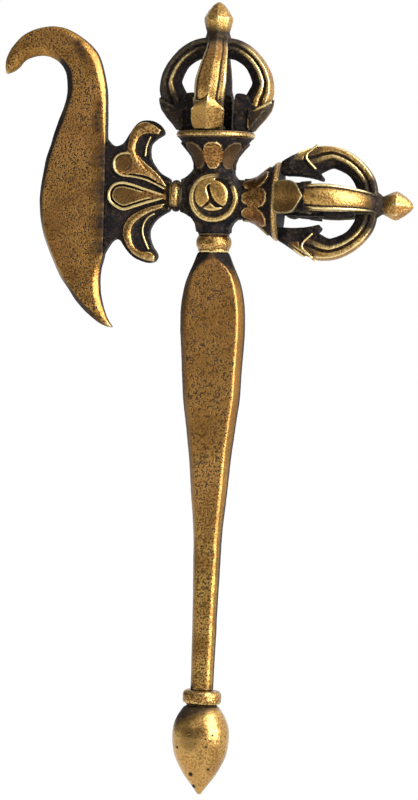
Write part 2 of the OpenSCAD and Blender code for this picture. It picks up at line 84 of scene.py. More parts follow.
def flowing(rows, cuts, closed=False):
    """Rows of numbers with cuts - 1 more between each two, on a smooth curve through them."""
    last = len(rows) - 1
    curve = []
    for i in range(len(rows) if closed else last):
        if closed:
            four = [rows[(i + k) % len(rows)] for k in (-1, 0, 1, 2)]
        else:
            four = [rows[min(max(i + k, 0), last)] for k in (-1, 0, 1, 2)]
        for k in range(cuts):
            t = k / cuts
            curve.append([q + 0.5 * t * (r - p + t * (2 * p - 5 * q + 4 * r - s
                                                      + t * (3 * q - p - 3 * r + s)))
                          for p, q, r, s in zip(*four)])
    return curve if closed else curve + [list(rows[-1])]


def lookup(value, pairs):
    """The value between pairs, on straight lines."""
    for (a, fa), (b, fb) in zip(pairs, pairs[1:]):
        if value <= b:
            return fa + (fb - fa) * max(0, value - a) / (b - a)
    return pairs[-1][1]


def loft(name, rings, marks=None):
    """One closed skin through rings of points; marks gives the patina and painted shade of a ring's
    points.
    """
    count = len(rings[0])
    bpy.ops.object.select_all(action="DESELECT")
    bpy.ops.mesh.primitive_circle_add(vertices=count, fill_type="NGON")
    piece = bpy.context.object
    piece.name = name
    for vert, point in zip(piece.data.vertices, rings[0]):
        vert.co = point
    for ring in rings[1:]:
        bpy.ops.object.mode_set(mode="EDIT")
        bpy.ops.mesh.extrude_region_move()
        bpy.ops.object.mode_set(mode="OBJECT")
        for vert, point in zip([v for v in piece.data.vertices if v.select], ring):
            vert.co = point
    bpy.ops.object.mode_set(mode="EDIT")
    bpy.ops.mesh.select_all(action="SELECT")
    bpy.ops.mesh.normals_make_consistent(inside=False)
    bpy.ops.object.mode_set(mode="OBJECT")
    soot_and_shade = piece.data.color_attributes.new("soot_and_shade", "FLOAT_COLOR", "POINT")
    flat_marks = [mark for row in marks or [[0] * count] * len(rings) for mark in row]
    for spot, mark in zip(soot_and_shade.data, flat_marks):
        spot.color = (mark, mark, mark, 1)
    return piece


def paint(piece, rule):
    """Sets the patina and painted shade of a piece: one level, or a rule on a point's place and its
    old level.
    """
    for vert, mark in zip(piece.data.vertices, piece.data.color_attributes["soot_and_shade"].data):
        level = rule(vert.co, mark.color[0]) if callable(rule) else rule
        mark.color = (level, level, level, 1)


def apply_all(piece):
    """Applies the modifiers of a piece in their order."""
    alone(piece)
    for name in [m.name for m in piece.modifiers]:
        bpy.ops.object.modifier_apply(modifier=name)


def swell(piece, name, size, depth):
    """Uneven casting skin: lumps of one size, in and out by half the depth."""
    lumps = bpy.data.textures.new(name, "CLOUDS")
    lumps.noise_scale = size
    lumps.noise_depth = 2
    uneven = piece.modifiers.new(name, "DISPLACE")
    uneven.texture = lumps
    uneven.texture_coords = "LOCAL"
    uneven.strength = depth
    uneven.mid_level = 0.5


def mark_bends(piece):
    """Stores how sharply the skin bends: over 0.5 on an edge and under it in a crease."""
    mesh = piece.data
    count = len(mesh.vertices)
    spots = np.empty(count * 3)
    normals = np.empty(count * 3)
    ends = np.empty(len(mesh.edges) * 2, dtype=np.int32)
    mesh.vertices.foreach_get("co", spots)
    mesh.vertices.foreach_get("normal", normals)
    mesh.edges.foreach_get("vertices", ends)
    spots = spots.reshape(-1, 3)
    normals = normals.reshape(-1, 3)
    a, b = ends.reshape(-1, 2).T
    step = spots[b] - spots[a]
    square = np.maximum((step ** 2).sum(1), 1e-6)
    at_a = -(normals[a] * step).sum(1) / square
    at_b = (normals[b] * step).sum(1) / square
    shared = np.bincount(ends, minlength=count)
    bend = (np.bincount(a, at_a, count) + np.bincount(b, at_b, count)) / shared
    # smoothed over the neighbours, so that no single point stands out
    for _ in range(3):
        bend = (np.bincount(a, bend[b], count) + np.bincount(b, bend[a], count)) / shared
    stored = mesh.attributes.new("bend", "FLOAT", "POINT")
    stored.data.foreach_set("value", np.clip(0.5 + 0.25 * bend, 0, 1))


def cast(piece, voxel, soften, lumps, grit):
    """Turns the joined solids of a piece into one even, slightly soft skin, as a casting has."""
    alone(piece)
    bpy.ops.object.duplicate()
    pattern = bpy.context.object
    skin = piece.modifiers.new("skin", "REMESH")
    skin.mode = "VOXEL"
    skin.voxel_size = voxel
    soft = piece.modifiers.new("soft", "SMOOTH")
    soft.factor = 0.5
    soft.iterations = soften
    apply_all(piece)
    piece.data.color_attributes.new("soot_and_shade", "FLOAT_COLOR", "POINT")
    carry = piece.modifiers.new("carry", "DATA_TRANSFER")
    carry.object = pattern
    carry.use_vert_data = True
    carry.data_types_verts = {"COLOR_VERTEX"}
    carry.vert_mapping = "POLYINTERP_NEAREST"
    swell(piece, "lumps", size=4.5, depth=lumps)
    swell(piece, "grit", size=0.55, depth=grit)
    apply_all(piece)
    mark_bends(piece)
    bpy.ops.object.shade_smooth()
    bpy.data.objects.remove(pattern)


def move(piece, place):
    """Moves the points of a piece, so that its object stays at the origin."""
    alone(piece)
    piece.matrix_world = place
    bpy.ops.object.transform_apply(location=True, rotation=True, scale=True)


def seat(piece, place=Matrix()):
    """Puts a piece shaped in millimetres round the hub's middle at its place in metres."""
    move(piece, Matrix.Scale(MM, 4) @ Matrix.Translation(HUB) @ place)


def link(tree, kind, inputs=None, **settings):
    """A shader node with its settings, its inputs given as values or as other nodes' outputs."""
    made = tree.nodes.new("ShaderNode" + kind)
    for key, value in settings.items():
        setattr(made, key, value)
    for key, value in (inputs or {}).items():
        if isinstance(value, bpy.types.NodeSocket):
            tree.links.new(value, made.inputs[key])
        else:
            made.inputs[key].default_value = value
    return made


def aged_brass(name, gold, brown, bright=(0.95, 0.76, 0.34), pits=0.5, sides=1.0, near=0.0022,
               far=0.012, floor=None, rough=0.34, satin=0.0, edges=1.0, warm=None):
    """Brass with black patina in its recesses and pits, deepened by painted shade from ambient
    occlusion in its recesses and between parts, rubbed bright on its edges.

    gold and brown cloud the worn faces, bright is the rubbed edge, pits is how much of the face is
    speckled, sides how black the unfiled side walls are, near and far the reach of the recess
    shading, floor the two heights over the middle plane between which a relief turns gold, rough
    the roughness of the bare metal, satin how far a round piece was rubbed smooth, edges how
    bright its edges are, and warm the two heights between which the brass turns browner."""
    worn_gold, worn_brown, rubbed_bright, copper, tarnish, thick_black, thin_black = [
        (*colour, 1) for colour in (gold, brown, bright, (0.40, 0.19, 0.052), (0.52, 0.25, 0.08),
                                    (0.003, 0.002, 0.003), (0.015, 0.010, 0.010))]
    made = bpy.data.materials.new(name)
    made.use_nodes = True
    tree = made.node_tree
    shader = tree.nodes["Principled BSDF"]

    def math(step, a, b=0.0, clamp=True):
        return link(tree, "Math", {0: a, 1: b}, operation=step, use_clamp=clamp).outputs[0]

    def ramp(value, low, high, start=0.0, end=1.0):
        return link(tree, "MapRange", {"Value": value, "From Min": low, "From Max": high,
                                       "To Min": start, "To Max": end},
                    interpolation_type="SMOOTHSTEP").outputs[0]

    def mix(share, a, b):
        return link(tree, "Mix", {0: share, 6: a, 7: b}, data_type="RGBA").outputs[2]

    def noise(scale, detail, roughness=0.6):
        return link(tree, "TexNoise", {"Vector": place, "Scale": scale, "Detail": detail,
                                       "Roughness": roughness}).outputs["Fac"]

    spot = link(tree, "TexCoord")
    place = spot.outputs["Object"]
    grain = noise(2150, 3, 0.5)
    flecks = noise(1200, 3, 0.65)
    patches = noise(420, 3)
    clouds = noise(110, 4)
    streaks = noise(45, 2)

    # rubbed edges and dark creases, by the bends that are stored in the mesh
    bend = link(tree, "Attribute", attribute_name="bend").outputs["Fac"]
    edge = ramp(bend, 0.54, 0.66)
    crease = ramp(bend, 0.465, 0.36)
    # ambient occlusion darkens the recesses and the gaps between parts: black patina there, with
    # painted shade where shade falls
    inner = link(tree, "AmbientOcclusion", {"Distance": near}, samples=8).outputs["AO"]
    outer = link(tree, "AmbientOcclusion", {"Distance": far}, samples=8).outputs["AO"]
    recess = math("MAXIMUM", ramp(inner, 0.80, 0.30), ramp(outer, 0.46, 0.14))
    facing = link(tree, "SeparateXYZ", {0: spot.outputs["Normal"]}).outputs[1]
    upright = math("ABSOLUTE", facing)
    wall = math("MULTIPLY", ramp(upright, 0.50, 0.22), sides)
    filed = math("MAXIMUM", math("MULTIPLY", ramp(upright, 0.95, 0.84), sides), satin)
    painted = link(tree, "Attribute", attribute_name="soot_and_shade").outputs["Fac"]
    # the patina level gathers real patina and painted shade: occlusion, creases, side walls and the
    # painted attribute
    soot_and_shade = math("MAXIMUM", math("MAXIMUM", recess, crease), math("MAXIMUM", wall, painted))
    if floor:
        depth = math("ABSOLUTE", link(tree, "SeparateXYZ", {0: place}).outputs[1], clamp=False)
        soot_and_shade = math("MAXIMUM", soot_and_shade, ramp(depth, floor[1], floor[0]))
    soot_and_shade = math("MULTIPLY", soot_and_shade, ramp(flecks, 0.74, 0.50, 0.88, 1.0))
    rubbed = math("MULTIPLY", edge, ramp(flecks, 0.25, 0.5, 0.5 * edges, edges))
    bare = math("SUBTRACT", 0.4, math("MULTIPLY", painted, 0.4))
    soot_and_shade = math("SUBTRACT", soot_and_shade, math("MULTIPLY", rubbed, bare))

    # casting pits, fine ones nearly all over and coarser ones in patches
    density = math("ADD", math("MULTIPLY", patches, 0.35), math("MULTIPLY", clouds, 0.65))
    fine = math("MULTIPLY", ramp(grain, 0.52, 0.42), ramp(density, 0.36, 0.56, 0.6, 1.0))
    coarse = math("MULTIPLY", ramp(flecks, 0.44, 0.37), ramp(density, 0.42, 0.58, 0.1, 1.0))
    pitted = math("MULTIPLY", math("MAXIMUM", fine, coarse),
                  ramp(math("MAXIMUM", edge, filed), 0.0, 1.0, pits, pits * 0.3))
    dirt_and_shade = math("MAXIMUM", soot_and_shade, pitted)

    tone = math("ADD", math("MULTIPLY", clouds, 0.55), math("MULTIPLY", grain, 0.45))
    face = mix(ramp(tone, 0.43, 0.57), worn_brown, worn_gold)
    if warm:
        height = link(tree, "SeparateXYZ", {0: place}).outputs[2]
        face = mix(ramp(height, warm[0], warm[1], 0.0, 0.8), face, copper)
    face = mix(math("MULTIPLY", ramp(streaks, 0.48, 0.66), 0.45), face, tarnish)
    face = mix(rubbed, face, rubbed_bright)
    black = mix(ramp(patches, 0.45, 0.65), thick_black, thin_black)
    tree.links.new(mix(dirt_and_shade, face, black), shader.inputs["Base Color"])
    tree.links.new(ramp(dirt_and_shade, 0.55, 1.0, 1.0, 0.0), shader.inputs["Metallic"])
    gloss = math("ADD", math("MULTIPLY", flecks, 0.20), rough - 0.10)
    gloss = math("SUBTRACT", gloss, math("MULTIPLY", math("MAXIMUM", rubbed, filed), 0.07))
    tree.links.new(math("ADD", gloss, ramp(dirt_and_shade, 0.6, 1.0, 0.0, 0.4)), shader.inputs["Roughness"])
    shader.inputs["Specular IOR Level"].default_value = 0.18
    relief = math("SUBTRACT", math("MULTIPLY", grain, 0.5), math("MULTIPLY", pitted, 0.5), False)
    relief = math("ADD", relief, math("MULTIPLY", flecks, 0.9), False)
    bump = link(tree, "Bump", {"Height": relief, "Strength": ramp(filed, 0.0, 1.0, 0.6, 0.25),
                               "Distance": 0.00011})
    tree.links.new(bump.outputs[0], shader.inputs["Normal"])
    return made


def own(piece, material, node):
    """Gives a finished piece its material, hangs it under the root body and hides the model's part
    it stands for.
    """
    piece.data.materials.clear()
    piece.data.materials.append(material)
    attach(piece, "root")
    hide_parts(node)


blade_rings = []
blade_marks = []
for ax, az, bx, bz, edge_share, back_share, bevel_soot in flowing(BLADE_RIBS, 3):
    width = hypot(bx - ax, bz - az)
    half = BLADE_T / 2 * min(1, 0.35 + width / 9)
    lip = min(EDGE_T / 2, half * 0.6)
    cut = min(EDGE_BEVEL * edge_share, 0.36 * width)
    back = min(BACK_BEVEL * back_share, 0.34 * width)
    seated = abs(bx) < 0.03 and SEAT_FOOT < bz < SEAT_HEAD
    heel = half - (SEAT_BREAK if seated else min(half * 0.45, back * 0.62))
    side = [(0, lip, bevel_soot), (cut * 0.85, half * 0.97, bevel_soot), (cut, half, 0),
            (width / 2, half + CROWN, 0), (width - back, half, 0),
            (width - back * 0.3, half + (heel - half) * 0.7, 0.9 if seated else 0),
            (width, heel, 1), (width, heel * 0.82, 1)]
    ring = [(p, -y, m) for p, y, m in side] + [(p, y, m) for p, y, m in reversed(side)]
    ux, uz = (bx - ax) / width, (bz - az) / width
    blade_rings.append([(BLADE_X + ax + ux * p, y, az + uz * p) for p, y, m in ring])
    blade_marks.append([m for p, y, m in ring])
blade = loft("crescent_blade", blade_rings, blade_marks)
cast(blade, voxel=0.24, soften=3, lumps=0.14, grit=0.06)
# stains on its faces, as x, z and radius
STAINS = ((-35.4, 37.4, 1.3), (-34.9, 36, 1.3), (-34.3, 34.6, 1), (-29.5, 22.3, 0.8),
          (-29.8, 20.4, 1), (-30.3, 19.1, 1.1), (-30.1, 17.4, 1.3), (-29.7, 16, 0.9))


def blade_patina(spot, kept):
    """Patina that stayed on the faces, in stains and, with a wavy edge, beside the palmette."""
    x, z = spot.x, spot.z
    if SEAT_FOOT - 1 < z < SEAT_HEAD + 0.5:
        uneven = 0.6 * sin(0.8 * z + 1) + 0.4 * sin(2.9 * z) + 0.2 * sin(6.1 * z + 2)
        fade = lookup(abs(z + 1), [(13.5, 1), (15.5, 0)])
        beside = lookup(x - BLADE_X + uneven, [(-4.2, 0), (-1.8, 0.7), (-0.3, 0.97)])
        kept = max(kept, fade * beside)
    for sx, sz, reach in STAINS:
        kept = max(kept, lookup(hypot(x - sx, z - sz) / reach, [(0.3, 0.95), (1, 0.4), (1.3, 0)]))
    return kept


paint(blade, blade_patina)
seat(blade)
face_brass = aged_brass("filed_brass_faces", (0.45, 0.235, 0.060), (0.24, 0.115, 0.030),
                        (0.94, 0.72, 0.32), pits=0.95, sides=0.97, edges=0.5)
own(blade, face_brass, "blade")

# Palmette: a three petalled flower with an upper and a lower curl that joins the blade to the hub,
# cast in brass. Its curls and petals are raised beads and the hollows between them stay black.
PALM_T = 3.4
PETAL_H = 0.9
BEAD_R = 0.42
RIDGE_R = 0.85
THIN_RIM_R = 0.3
HOLLOW_R = 0.25
LEFT_R = 3.8
UPPER_EDGE = [
    (-0.3, 4.3), (-2.5, 5.5), (-3.9, 7.1), (-5, 9), (-5.3, 11.2), (-4.9, 12.9), (-3.3, 14.3),
    (-1.8, 15.4), (-2.4, 17), (-4.1, 18.3), (-6, 18.7), (-7.9, 18.3), (-9.2, 17.1), (-10.7, 14.9),
    (-12, 12.9), (-13.6, 12.1), (-15, 12.5), (-16.4, 14.1)]
LOWER_EDGE = [
    (-16.4, -15.2), (-15.5, -13.5), (-14.3, -11.8), (-13.2, -11.2), (-12.1, -11.6),
    (-11.3, -12.8), (-9.9, -14.6), (-8.1, -16), (-5.5, -16.9), (-3.7, -16.7), (-2.8, -15.6),
    (-3, -14.4), (-4, -12.9), (-4.8, -10.8), (-4.9, -9), (-4.3, -7.5), (-3.1, -5.9),
    (-1.6, -4.8)]
UPPER_CURL = [
    (-14.5, 8.2), (-14, 9.8), (-12.7, 10.5), (-11, 10.9), (-10.8, 12.4), (-10.2, 15.2),
    (-8.5, 17.5), (-6.5, 18.2), (-4.4, 17.5), (-2.9, 16.1), (-3.1, 15.2), (-5.0, 15.4),
    (-7.2, 15), (-8.5, 13.2), (-8.7, 10.9), (-7.2, 8.9), (-4.8, 6.9), (-2.6, 4.9), (-0.8, 2.1),
    (-3.3, 3.5), (-6.2, 4.7), (-9.5, 5.2), (-12.1, 5.3), (-13.6, 6.4)]
UPPER_RIDGE = [(-2.7, 15.7), (-4.3, 16.7), (-6.4, 16.8), (-8.7, 15.3), (-9.6, 12.6), (-9.5, 10.4),
               (-8.1, 7.8), (-5.8, 5.6), (-3.4, 3.9), (-1.4, 2.6)]
LOWER_RIDGE = [(-3.3, -15.8), (-5.6, -15.5), (-8.3, -14.2), (-9.9, -12), (-10.3, -9.6),
               (-9.4, -7.2), (-7.4, -5.3), (-4.9, -3.9), (-1.6, -2.7)]
LOWER_CURL = [
    (-1, -2.1), (-4.7, -2.9), (-7.7, -4.2), (-10.3, -6), (-11.5, -8.8), (-10.9, -12),
    (-8.7, -14.7), (-6, -16), (-3.8, -16.1), (-3.3, -15.1), (-4.6, -14.2), (-6.7, -14.1),
    (-8.5, -12.8), (-9.3, -10.5), (-9.2, -8.2), (-8.1, -6.3), (-6.3, -4.9), (-4, -3.9)]
MIDDLE_PETAL = [
    (-15.3, -0.4), (-15, 1.1), (-13.8, 2.5), (-11.8, 2.9), (-9.2, 2.4), (-6.1, 1.4), (-2.6, 0.3),
    (-1.2, -0.3), (-2.6, -0.9), (-6.1, -2), (-9.1, -3), (-11.4, -3.7), (-13.2, -3.1),
    (-14.8, -1.8)]
UPPER_PETAL_RIM = [
    (-9.4, 10.2), (-11.4, 10.3), (-13.2, 9.7), (-14.2, 8.1), (-13.8, 6), (-12.1, 4.8),
    (-9.3, 4.5), (-6, 3.8), (-3.2, 2.6), (-1.2, 1.6)]
# thin raised lines in the dark hollows beside the curls
UPPER_HOLLOW_LINE = [(-5, 14.6), (-5.8, 12.9), (-6.2, 11), (-6.3, 9.6)]
LOWER_HOLLOW_LINE = [(-3.6, -4.6), (-5.2, -5.6), (-6.3, -7.4), (-6.5, -9.4), (-5.8, -11.6),
                     (-4.8, -13.6)]
# the middle petal inside its rim, and the dark disc in the upper petal as x, z and radius
PETAL_FACE = [
    (-14.4, -0.4), (-14.2, 0.8), (-13.4, 1.7), (-11.8, 2.05), (-9.3, 1.55), (-6.2, 0.7),
    (-3.4, -0.1), (-2.4, -0.3), (-3.4, -0.5), (-6.2, -1.2), (-9.1, -2.15), (-11.3, -2.85),
    (-12.8, -2.4), (-14, -1.4)]
DISC = (-11.7, 7.9, 1.9)


def slab(name, outline, low, high):
    """A flat outline in x and z, made solid between two depths in y."""
    return loft(name, [[(x, y, z) for x, z in outline] for y in (low, high)])


def bead_line(name, route, radius, y, closed=False, taper=1.0):
    """A raised round bead along a route in x and z at one depth, tapering towards its end."""
    curve = bpy.data.curves.new(name, "CURVE")
    curve.dimensions = "3D"
    curve.bevel_depth = radius
    curve.bevel_resolution = 2
    curve.use_fill_caps = True
    spline = curve.splines.new("POLY")
    points = flowing(route, 4, closed)
    spline.points.add(len(points) - 1)
    for k, (x, z) in enumerate(points):
        spline.points[k].co = (x, y, z, 1)
        spline.points[k].radius = lookup(k / len(points), [(0.6, 1), (1, taper)])
    spline.use_cyclic_u = closed
    piece = bpy.data.objects.new(name, curve)
    bpy.context.collection.objects.link(piece)
    alone(piece)
    bpy.ops.object.convert(target="MESH")
    made = bpy.context.object
    made.data.color_attributes.new("soot_and_shade", "FLOAT_COLOR", "POINT")
    paint(made, 0)
    return made


def joined(pieces):
    """Joins loose solids into the first of them."""
    alone(pieces[0])
    for piece in pieces[1:]:
        piece.select_set(True)
    bpy.ops.object.join()
    return bpy.context.object


palm_half = PALM_T / 2
petal_top = palm_half + PETAL_H
plate_outline = ([(0.1, LEFT_R)] + flowing(UPPER_EDGE, 3) + flowing(LOWER_EDGE, 3)
                 + [(0.1, -LEFT_R)])
plate = slab("petal_palmette", plate_outline, -palm_half, palm_half)
paint(plate, 1)
palm_solids = [plate]
for sign in (-1, 1):
    for outline in (UPPER_CURL, LOWER_CURL):
        palm_solids.append(slab("curl", flowing(outline, 3, True), 0, sign * (petal_top - 0.4)))
    for route in (UPPER_RIDGE, LOWER_RIDGE):
        palm_solids.append(bead_line("ridge", route, RIDGE_R, sign * (petal_top - 0.8), taper=0.45))
    palm_solids.append(slab("petal", flowing(PETAL_FACE, 3, True), 0, sign * (petal_top - 0.25)))
    for name, route, radius, y, closed in (
            ("petal_rim", MIDDLE_PETAL, BEAD_R, petal_top - BEAD_R, True),
            ("upper_rim", UPPER_PETAL_RIM, THIN_RIM_R, petal_top - THIN_RIM_R, False),
            ("hollow_line", UPPER_HOLLOW_LINE, HOLLOW_R, palm_half + HOLLOW_R, False),
            ("hollow_line", LOWER_HOLLOW_LINE, HOLLOW_R, palm_half + HOLLOW_R, False)):
        palm_solids.append(bead_line(name, route, radius, sign * y, closed))
stem_rings = [[(x, r * sin(a * pi / 12), r * cos(a * pi / 12)) for a in range(24)]
              for x, r in ((-2, palm_half), (-1.1, palm_half + 0.8), (-0.6, 3), (0, LEFT_R))]
palm_solids.append(loft("stem", stem_rings))
palmette = joined(palm_solids)
palmette.name = "petal_palmette"
cast(palmette, voxel=0.17, soften=3, lumps=0.14, grit=0.08)


def palmette_patina(spot, kept):
    """Patina on the relief: a ring round the disc, a veil on the middle petal, and the foot."""
    x, y, z = spot
    if abs(y) <= palm_half + 0.2:
        return kept
    off = hypot(x - DISC[0], z - DISC[1]) - DISC[2]
    ring_share = 1 if x + z > DISC[0] + DISC[1] - 1.6 else 0.5
    stain = lookup(off, [(-0.3, 0.6), (0, ring_share), (0.15, ring_share), (0.35, 0)])
    if -3.2 < z < 2.4 and hypot(x + 11.9, (z + 0.4) * 1.1) < 2.9 or -9.4 < x and -2 < z < 1.6:
        stain = max(stain, lookup(x, [(-9.5, 0.55), (-6, 0)]))
    return max(kept, stain, lookup(x, [(-0.9, 0), (-0.5, 1)]))


paint(palmette, palmette_patina)
seat(palmette, Matrix.Translation((SEAT_X, 0, 0)))
relief_brass = aged_brass("relief_brass", (0.50, 0.27, 0.078), (0.25, 0.12, 0.034),
                          (0.95, 0.74, 0.33), satin=0.3, pits=0.9, near=0.0016,
                          floor=(palm_half * MM + 0.0001, petal_top * MM - 0.0004))
own(palmette, relief_brass, "palmette")

# Bead rings: turned brass rings where the palmette, the grip and the pommel bud meet the rest.
# The first two are round beads between narrow fillets, rubbed bright on the crown, and the one
# over the bud is a plain band that sits a little askew.
GRIP_TOP = 54.7 - HUB.z
COLLAR_H = 5.0
COLLAR_D = 8.9
RING_TOP = -54.7 - HUB.z
RING_H = 3.9
RING_D = 9.7
RING_TILT = radians(2)
TENON_BEAD_H = 3.0
TENON_BEAD_D = 8.0


def turned(name, profile, sides=64, marks=None):
    """A turned solid round Z through (radius, height) pairs."""
    turns = [2 * pi * k / sides for k in range(sides)]
    return loft(name, [[(radius * cos(a), radius * sin(a), height) for a in turns]
                       for radius, height in profile], marks)


# profile of a bead and of a band: how far inside the greatest radius, and share of the height
BEAD = [(0.75, 0.0), (0.5, 0.08), (0.6, 0.17), (0.2, 0.27), (0.02, 0.42), (0, 0.52), (0.08, 0.66),
        (0.35, 0.78), (0.75, 0.86), (0.45, 0.93), (0.45, 1.0)]
BAND = [(1.1, 0.0), (0.9, 0.1), (0.25, 0.16), (0, 0.3), (0, 0.72), (0.2, 0.88), (0.8, 1.0)]


# patina that was left where a bead or band runs under its neighbours
def sooty_ends(spot, kept):
    return max(lookup(abs(spot.x + 0.4), [(2.4, 0), (3.1, 1)]),
               lookup(spot.z, [(0.2, 1), (0.5, 0), (2.5, 0), (2.8, 1)]))


def sooty_top(spot, kept):
    return lookup(spot.z / COLLAR_H, [(0.84, 0), (0.93, 1)])


def sooty_foot(spot, kept):
    return lookup(spot.z / RING_H, [(0.02, 1), (0.12, 0)])


bead_brass = aged_brass("rubbed_bead_brass", (0.66, 0.39, 0.115), (0.34, 0.17, 0.05), satin=0.3,
                        pits=0.8, sides=0.0, near=0.0015, rough=0.30)
for name, node, shape, height, width, patina, place in (
        ("bead_at_palmette", "blade_collar", BEAD, TENON_BEAD_H, TENON_BEAD_D, sooty_ends,
         Matrix.Translation((SEAT_X, 0, 0)) @ Matrix.Rotation(pi / 2, 4, "Y")),
        ("bead_at_grip", "grip_collar", BEAD, COLLAR_H, COLLAR_D, sooty_top,
         Matrix.Translation((0, 0, GRIP_TOP))),
        ("band_at_pommel", "pommel_ring", BAND, RING_H, RING_D, sooty_foot,
         Matrix.Translation((0, 0, RING_TOP - RING_H)) @ Matrix.Rotation(RING_TILT, 4, "Y"))):
    bead = turned(name, [(width / 2 - inside, share * height) for inside, share in shape])
    paint(bead, patina)
    cast(bead, voxel=0.16, soften=2, lumps=0.20, grit=0.10)
    seat(bead, place)
    own(bead, bead_brass, node)

# Hub: a thick round boss with four short arms that run into the palmette, the grip and the two
# half vajras, cast in one. Its faces carry a raised ring round an inlaid medallion.
HUB_R = 7.0
HUB_T = 9.4
BODY_HALF = 3.1
EDGE_BREAK = 0.9
RING_R = 6.2
RING_W = 1.4
RING_RISE = 0.7
# the ring sits a little low and to the right in its face
RING_X = 0.2
RING_Z = -0.4
ARM_UP = 7.6
ARM_RIGHT = 8.1
ARM_LEFT = 8.3
ARM_DOWN = 9.0
NECK_R = 4.9
FOOT_R = 4.25
# the arm on the right points a little down and starts below the middle
DROOP = radians(0.9)
DROP = 0.6

# outline of the body between the arms, in x and z from the hub's middle
HUB_BODY = [
    (-4.7, 7.6), (-5.3, 6.7), (-6.1, 5.6), (-7.1, 4.7), (-8.3, 4.1), (-8.3, -4), (-7, -4.5),
    (-5.5, -5.5), (-4.6, -6.9), (-4.2, -9), (4.1, -9), (4.1, -7.7), (4.7, -6.5), (5.8, -5.6),
    (7.7, -5.2), (7.7, 4.2), (6.4, 4.2), (5.4, 4.6), (4.7, 5.6), (4.6, 7.6)]

boss = loft("boss", [[(r * cos(a), y, r * sin(a)) for a in [2 * pi * k / 64 for k in range(64)]]
                     for r, y in ((HUB_R - EDGE_BREAK, -HUB_T / 2), (HUB_R, EDGE_BREAK - HUB_T / 2),
                                  (HUB_R, HUB_T / 2 - EDGE_BREAK), (HUB_R - EDGE_BREAK, HUB_T / 2))])
hub_solids = [boss, slab("body", HUB_BODY, -BODY_HALF, BODY_HALF)]
for solid in hub_solids:
    paint(solid, 1)
for reach, radius, turn, drop in ((ARM_UP, NECK_R, 0, 0), (ARM_RIGHT, NECK_R, pi / 2 + DROOP, DROP),
                                  (ARM_DOWN, FOOT_R, pi, 0), (ARM_LEFT, LEFT_R, -pi / 2, 0)):
    arm = turned("arm", [(radius - 0.6, HUB_R - 2), (radius + 0.1, HUB_R - 0.6),
                         (radius - 0.1, HUB_R + 0.1), (radius - 0.25, reach)])
    move(arm, Matrix.Translation((0, 0, -drop)) @ Matrix.Rotation(turn, 4, "Y"))
    paint(arm, 1)
    hub_solids.append(arm)
# the patina is thin on the front and back of the arm by the blade, which is the last one
paint(hub_solids[-1], lambda spot, kept: lookup(abs(spot.z), [(2.2, 0.5), (3.2, 1)]))


def ring_patina_and_shade(spot, kept):
    """Patina that still covers the ring at its upper right, and painted shade on its inner edge on
    the left, away from the key light.
    """
    turn = atan2(spot.z, spot.x) % (2 * pi)
    kept = lookup(turn, [(0.1, 0), (0.5, 1), (1.3, 1), (1.7, 0)])
    # painted shade on the inner edge of the ring's left side
    if hypot(spot.x - RING_X, spot.z - RING_Z) < RING_R - 0.8:
        kept = max(kept, lookup(turn, [(1.6, 0), (2.2, 0.9), (4.2, 0.9), (4.8, 0)]))
    return kept


for sign in (-1, 1):
    top = HUB_T / 2 + RING_RISE
    ring = turned("raised_ring", [(RING_R, 3), (RING_R, top - 0.6), (RING_R - 0.25, top - 0.18),
                                  (RING_R - 0.7, top), (RING_R - RING_W + 0.25, top - 0.18),
                                  (RING_R - RING_W, top - 0.6), (RING_R - RING_W, HUB_T / 2 - 0.2)])
    move(ring, Matrix.Translation((RING_X, 0, RING_Z)) @ Matrix.Rotation(-sign * pi / 2, 4, "X"))
    paint(ring, ring_patina_and_shade)
    hub_solids.append(ring)
hub = joined(hub_solids)
hub.name = "four_armed_hub"
cast(hub, voxel=0.18, soften=3, lumps=0.20, grit=0.09)
seat(hub)
hub_brass = aged_brass("hub_brass", (0.74, 0.48, 0.15), (0.42, 0.24, 0.07), satin=0.5, near=0.002,
                       floor=((HUB_T / 2 + 0.05) * MM, (HUB_T / 2 + 0.5) * MM))
own(hub, hub_brass, "hub")

# Medallions: small cast discs let into the hub's two faces, with three bent lobes that turn round
# the middle. The lobes are slightly domed and rubbed, and the grooves between them stay black.
MEDAL_T = 0.8
SWIRL_H = 0.9
DISC_R = RING_R - RING_W - 0.15
# the swirl sits a little up and to the left in its ring
SWIRL_X = -0.25
SWIRL_Z = 0.35
LEFT_LOBE = [
    (0.9, 4), (0.1, 3.4), (-0.7, 2.8), (-1.1, 2), (-1, 0.9), (-0.7, -0.2), (-0.6, -1.1),
    (-1.4, -2.1), (-2.4, -2.9), (-3.4, -2.3), (-3.9, -1.3), (-4.1, 0), (-3.9, 1.3), (-3.2, 2.7),
    (-1.8, 3.7), (-0.5, 4.1)]
RIGHT_LOBE = [
    (-0.4, 2.4), (0, 3.1), (0.9, 3.5), (2.2, 3.1), (3.4, 2), (4, 0.7), (4, -0.7), (3.5, -2.2),
    (2.4, -2.4), (1.3, -1.8), (0.5, -0.9), (0, 0.2), (-0.3, 1.3)]
LOWER_LOBE = [
    (-2, -3.4), (-1.1, -2.7), (-0.2, -2), (0.5, -2.6), (1.5, -3.1), (2.8, -3.2), (2, -3.8),
    (0.6, -4.1), (-0.8, -4)]


def shrunk(outline, share):
    """An outline drawn in towards its own middle."""
    mx = sum(x for x, z in outline) / len(outline)
    mz = sum(z for x, z in outline) / len(outline)
    return [(mx + (x - mx) * share, mz + (z - mz) * share) for x, z in outline]


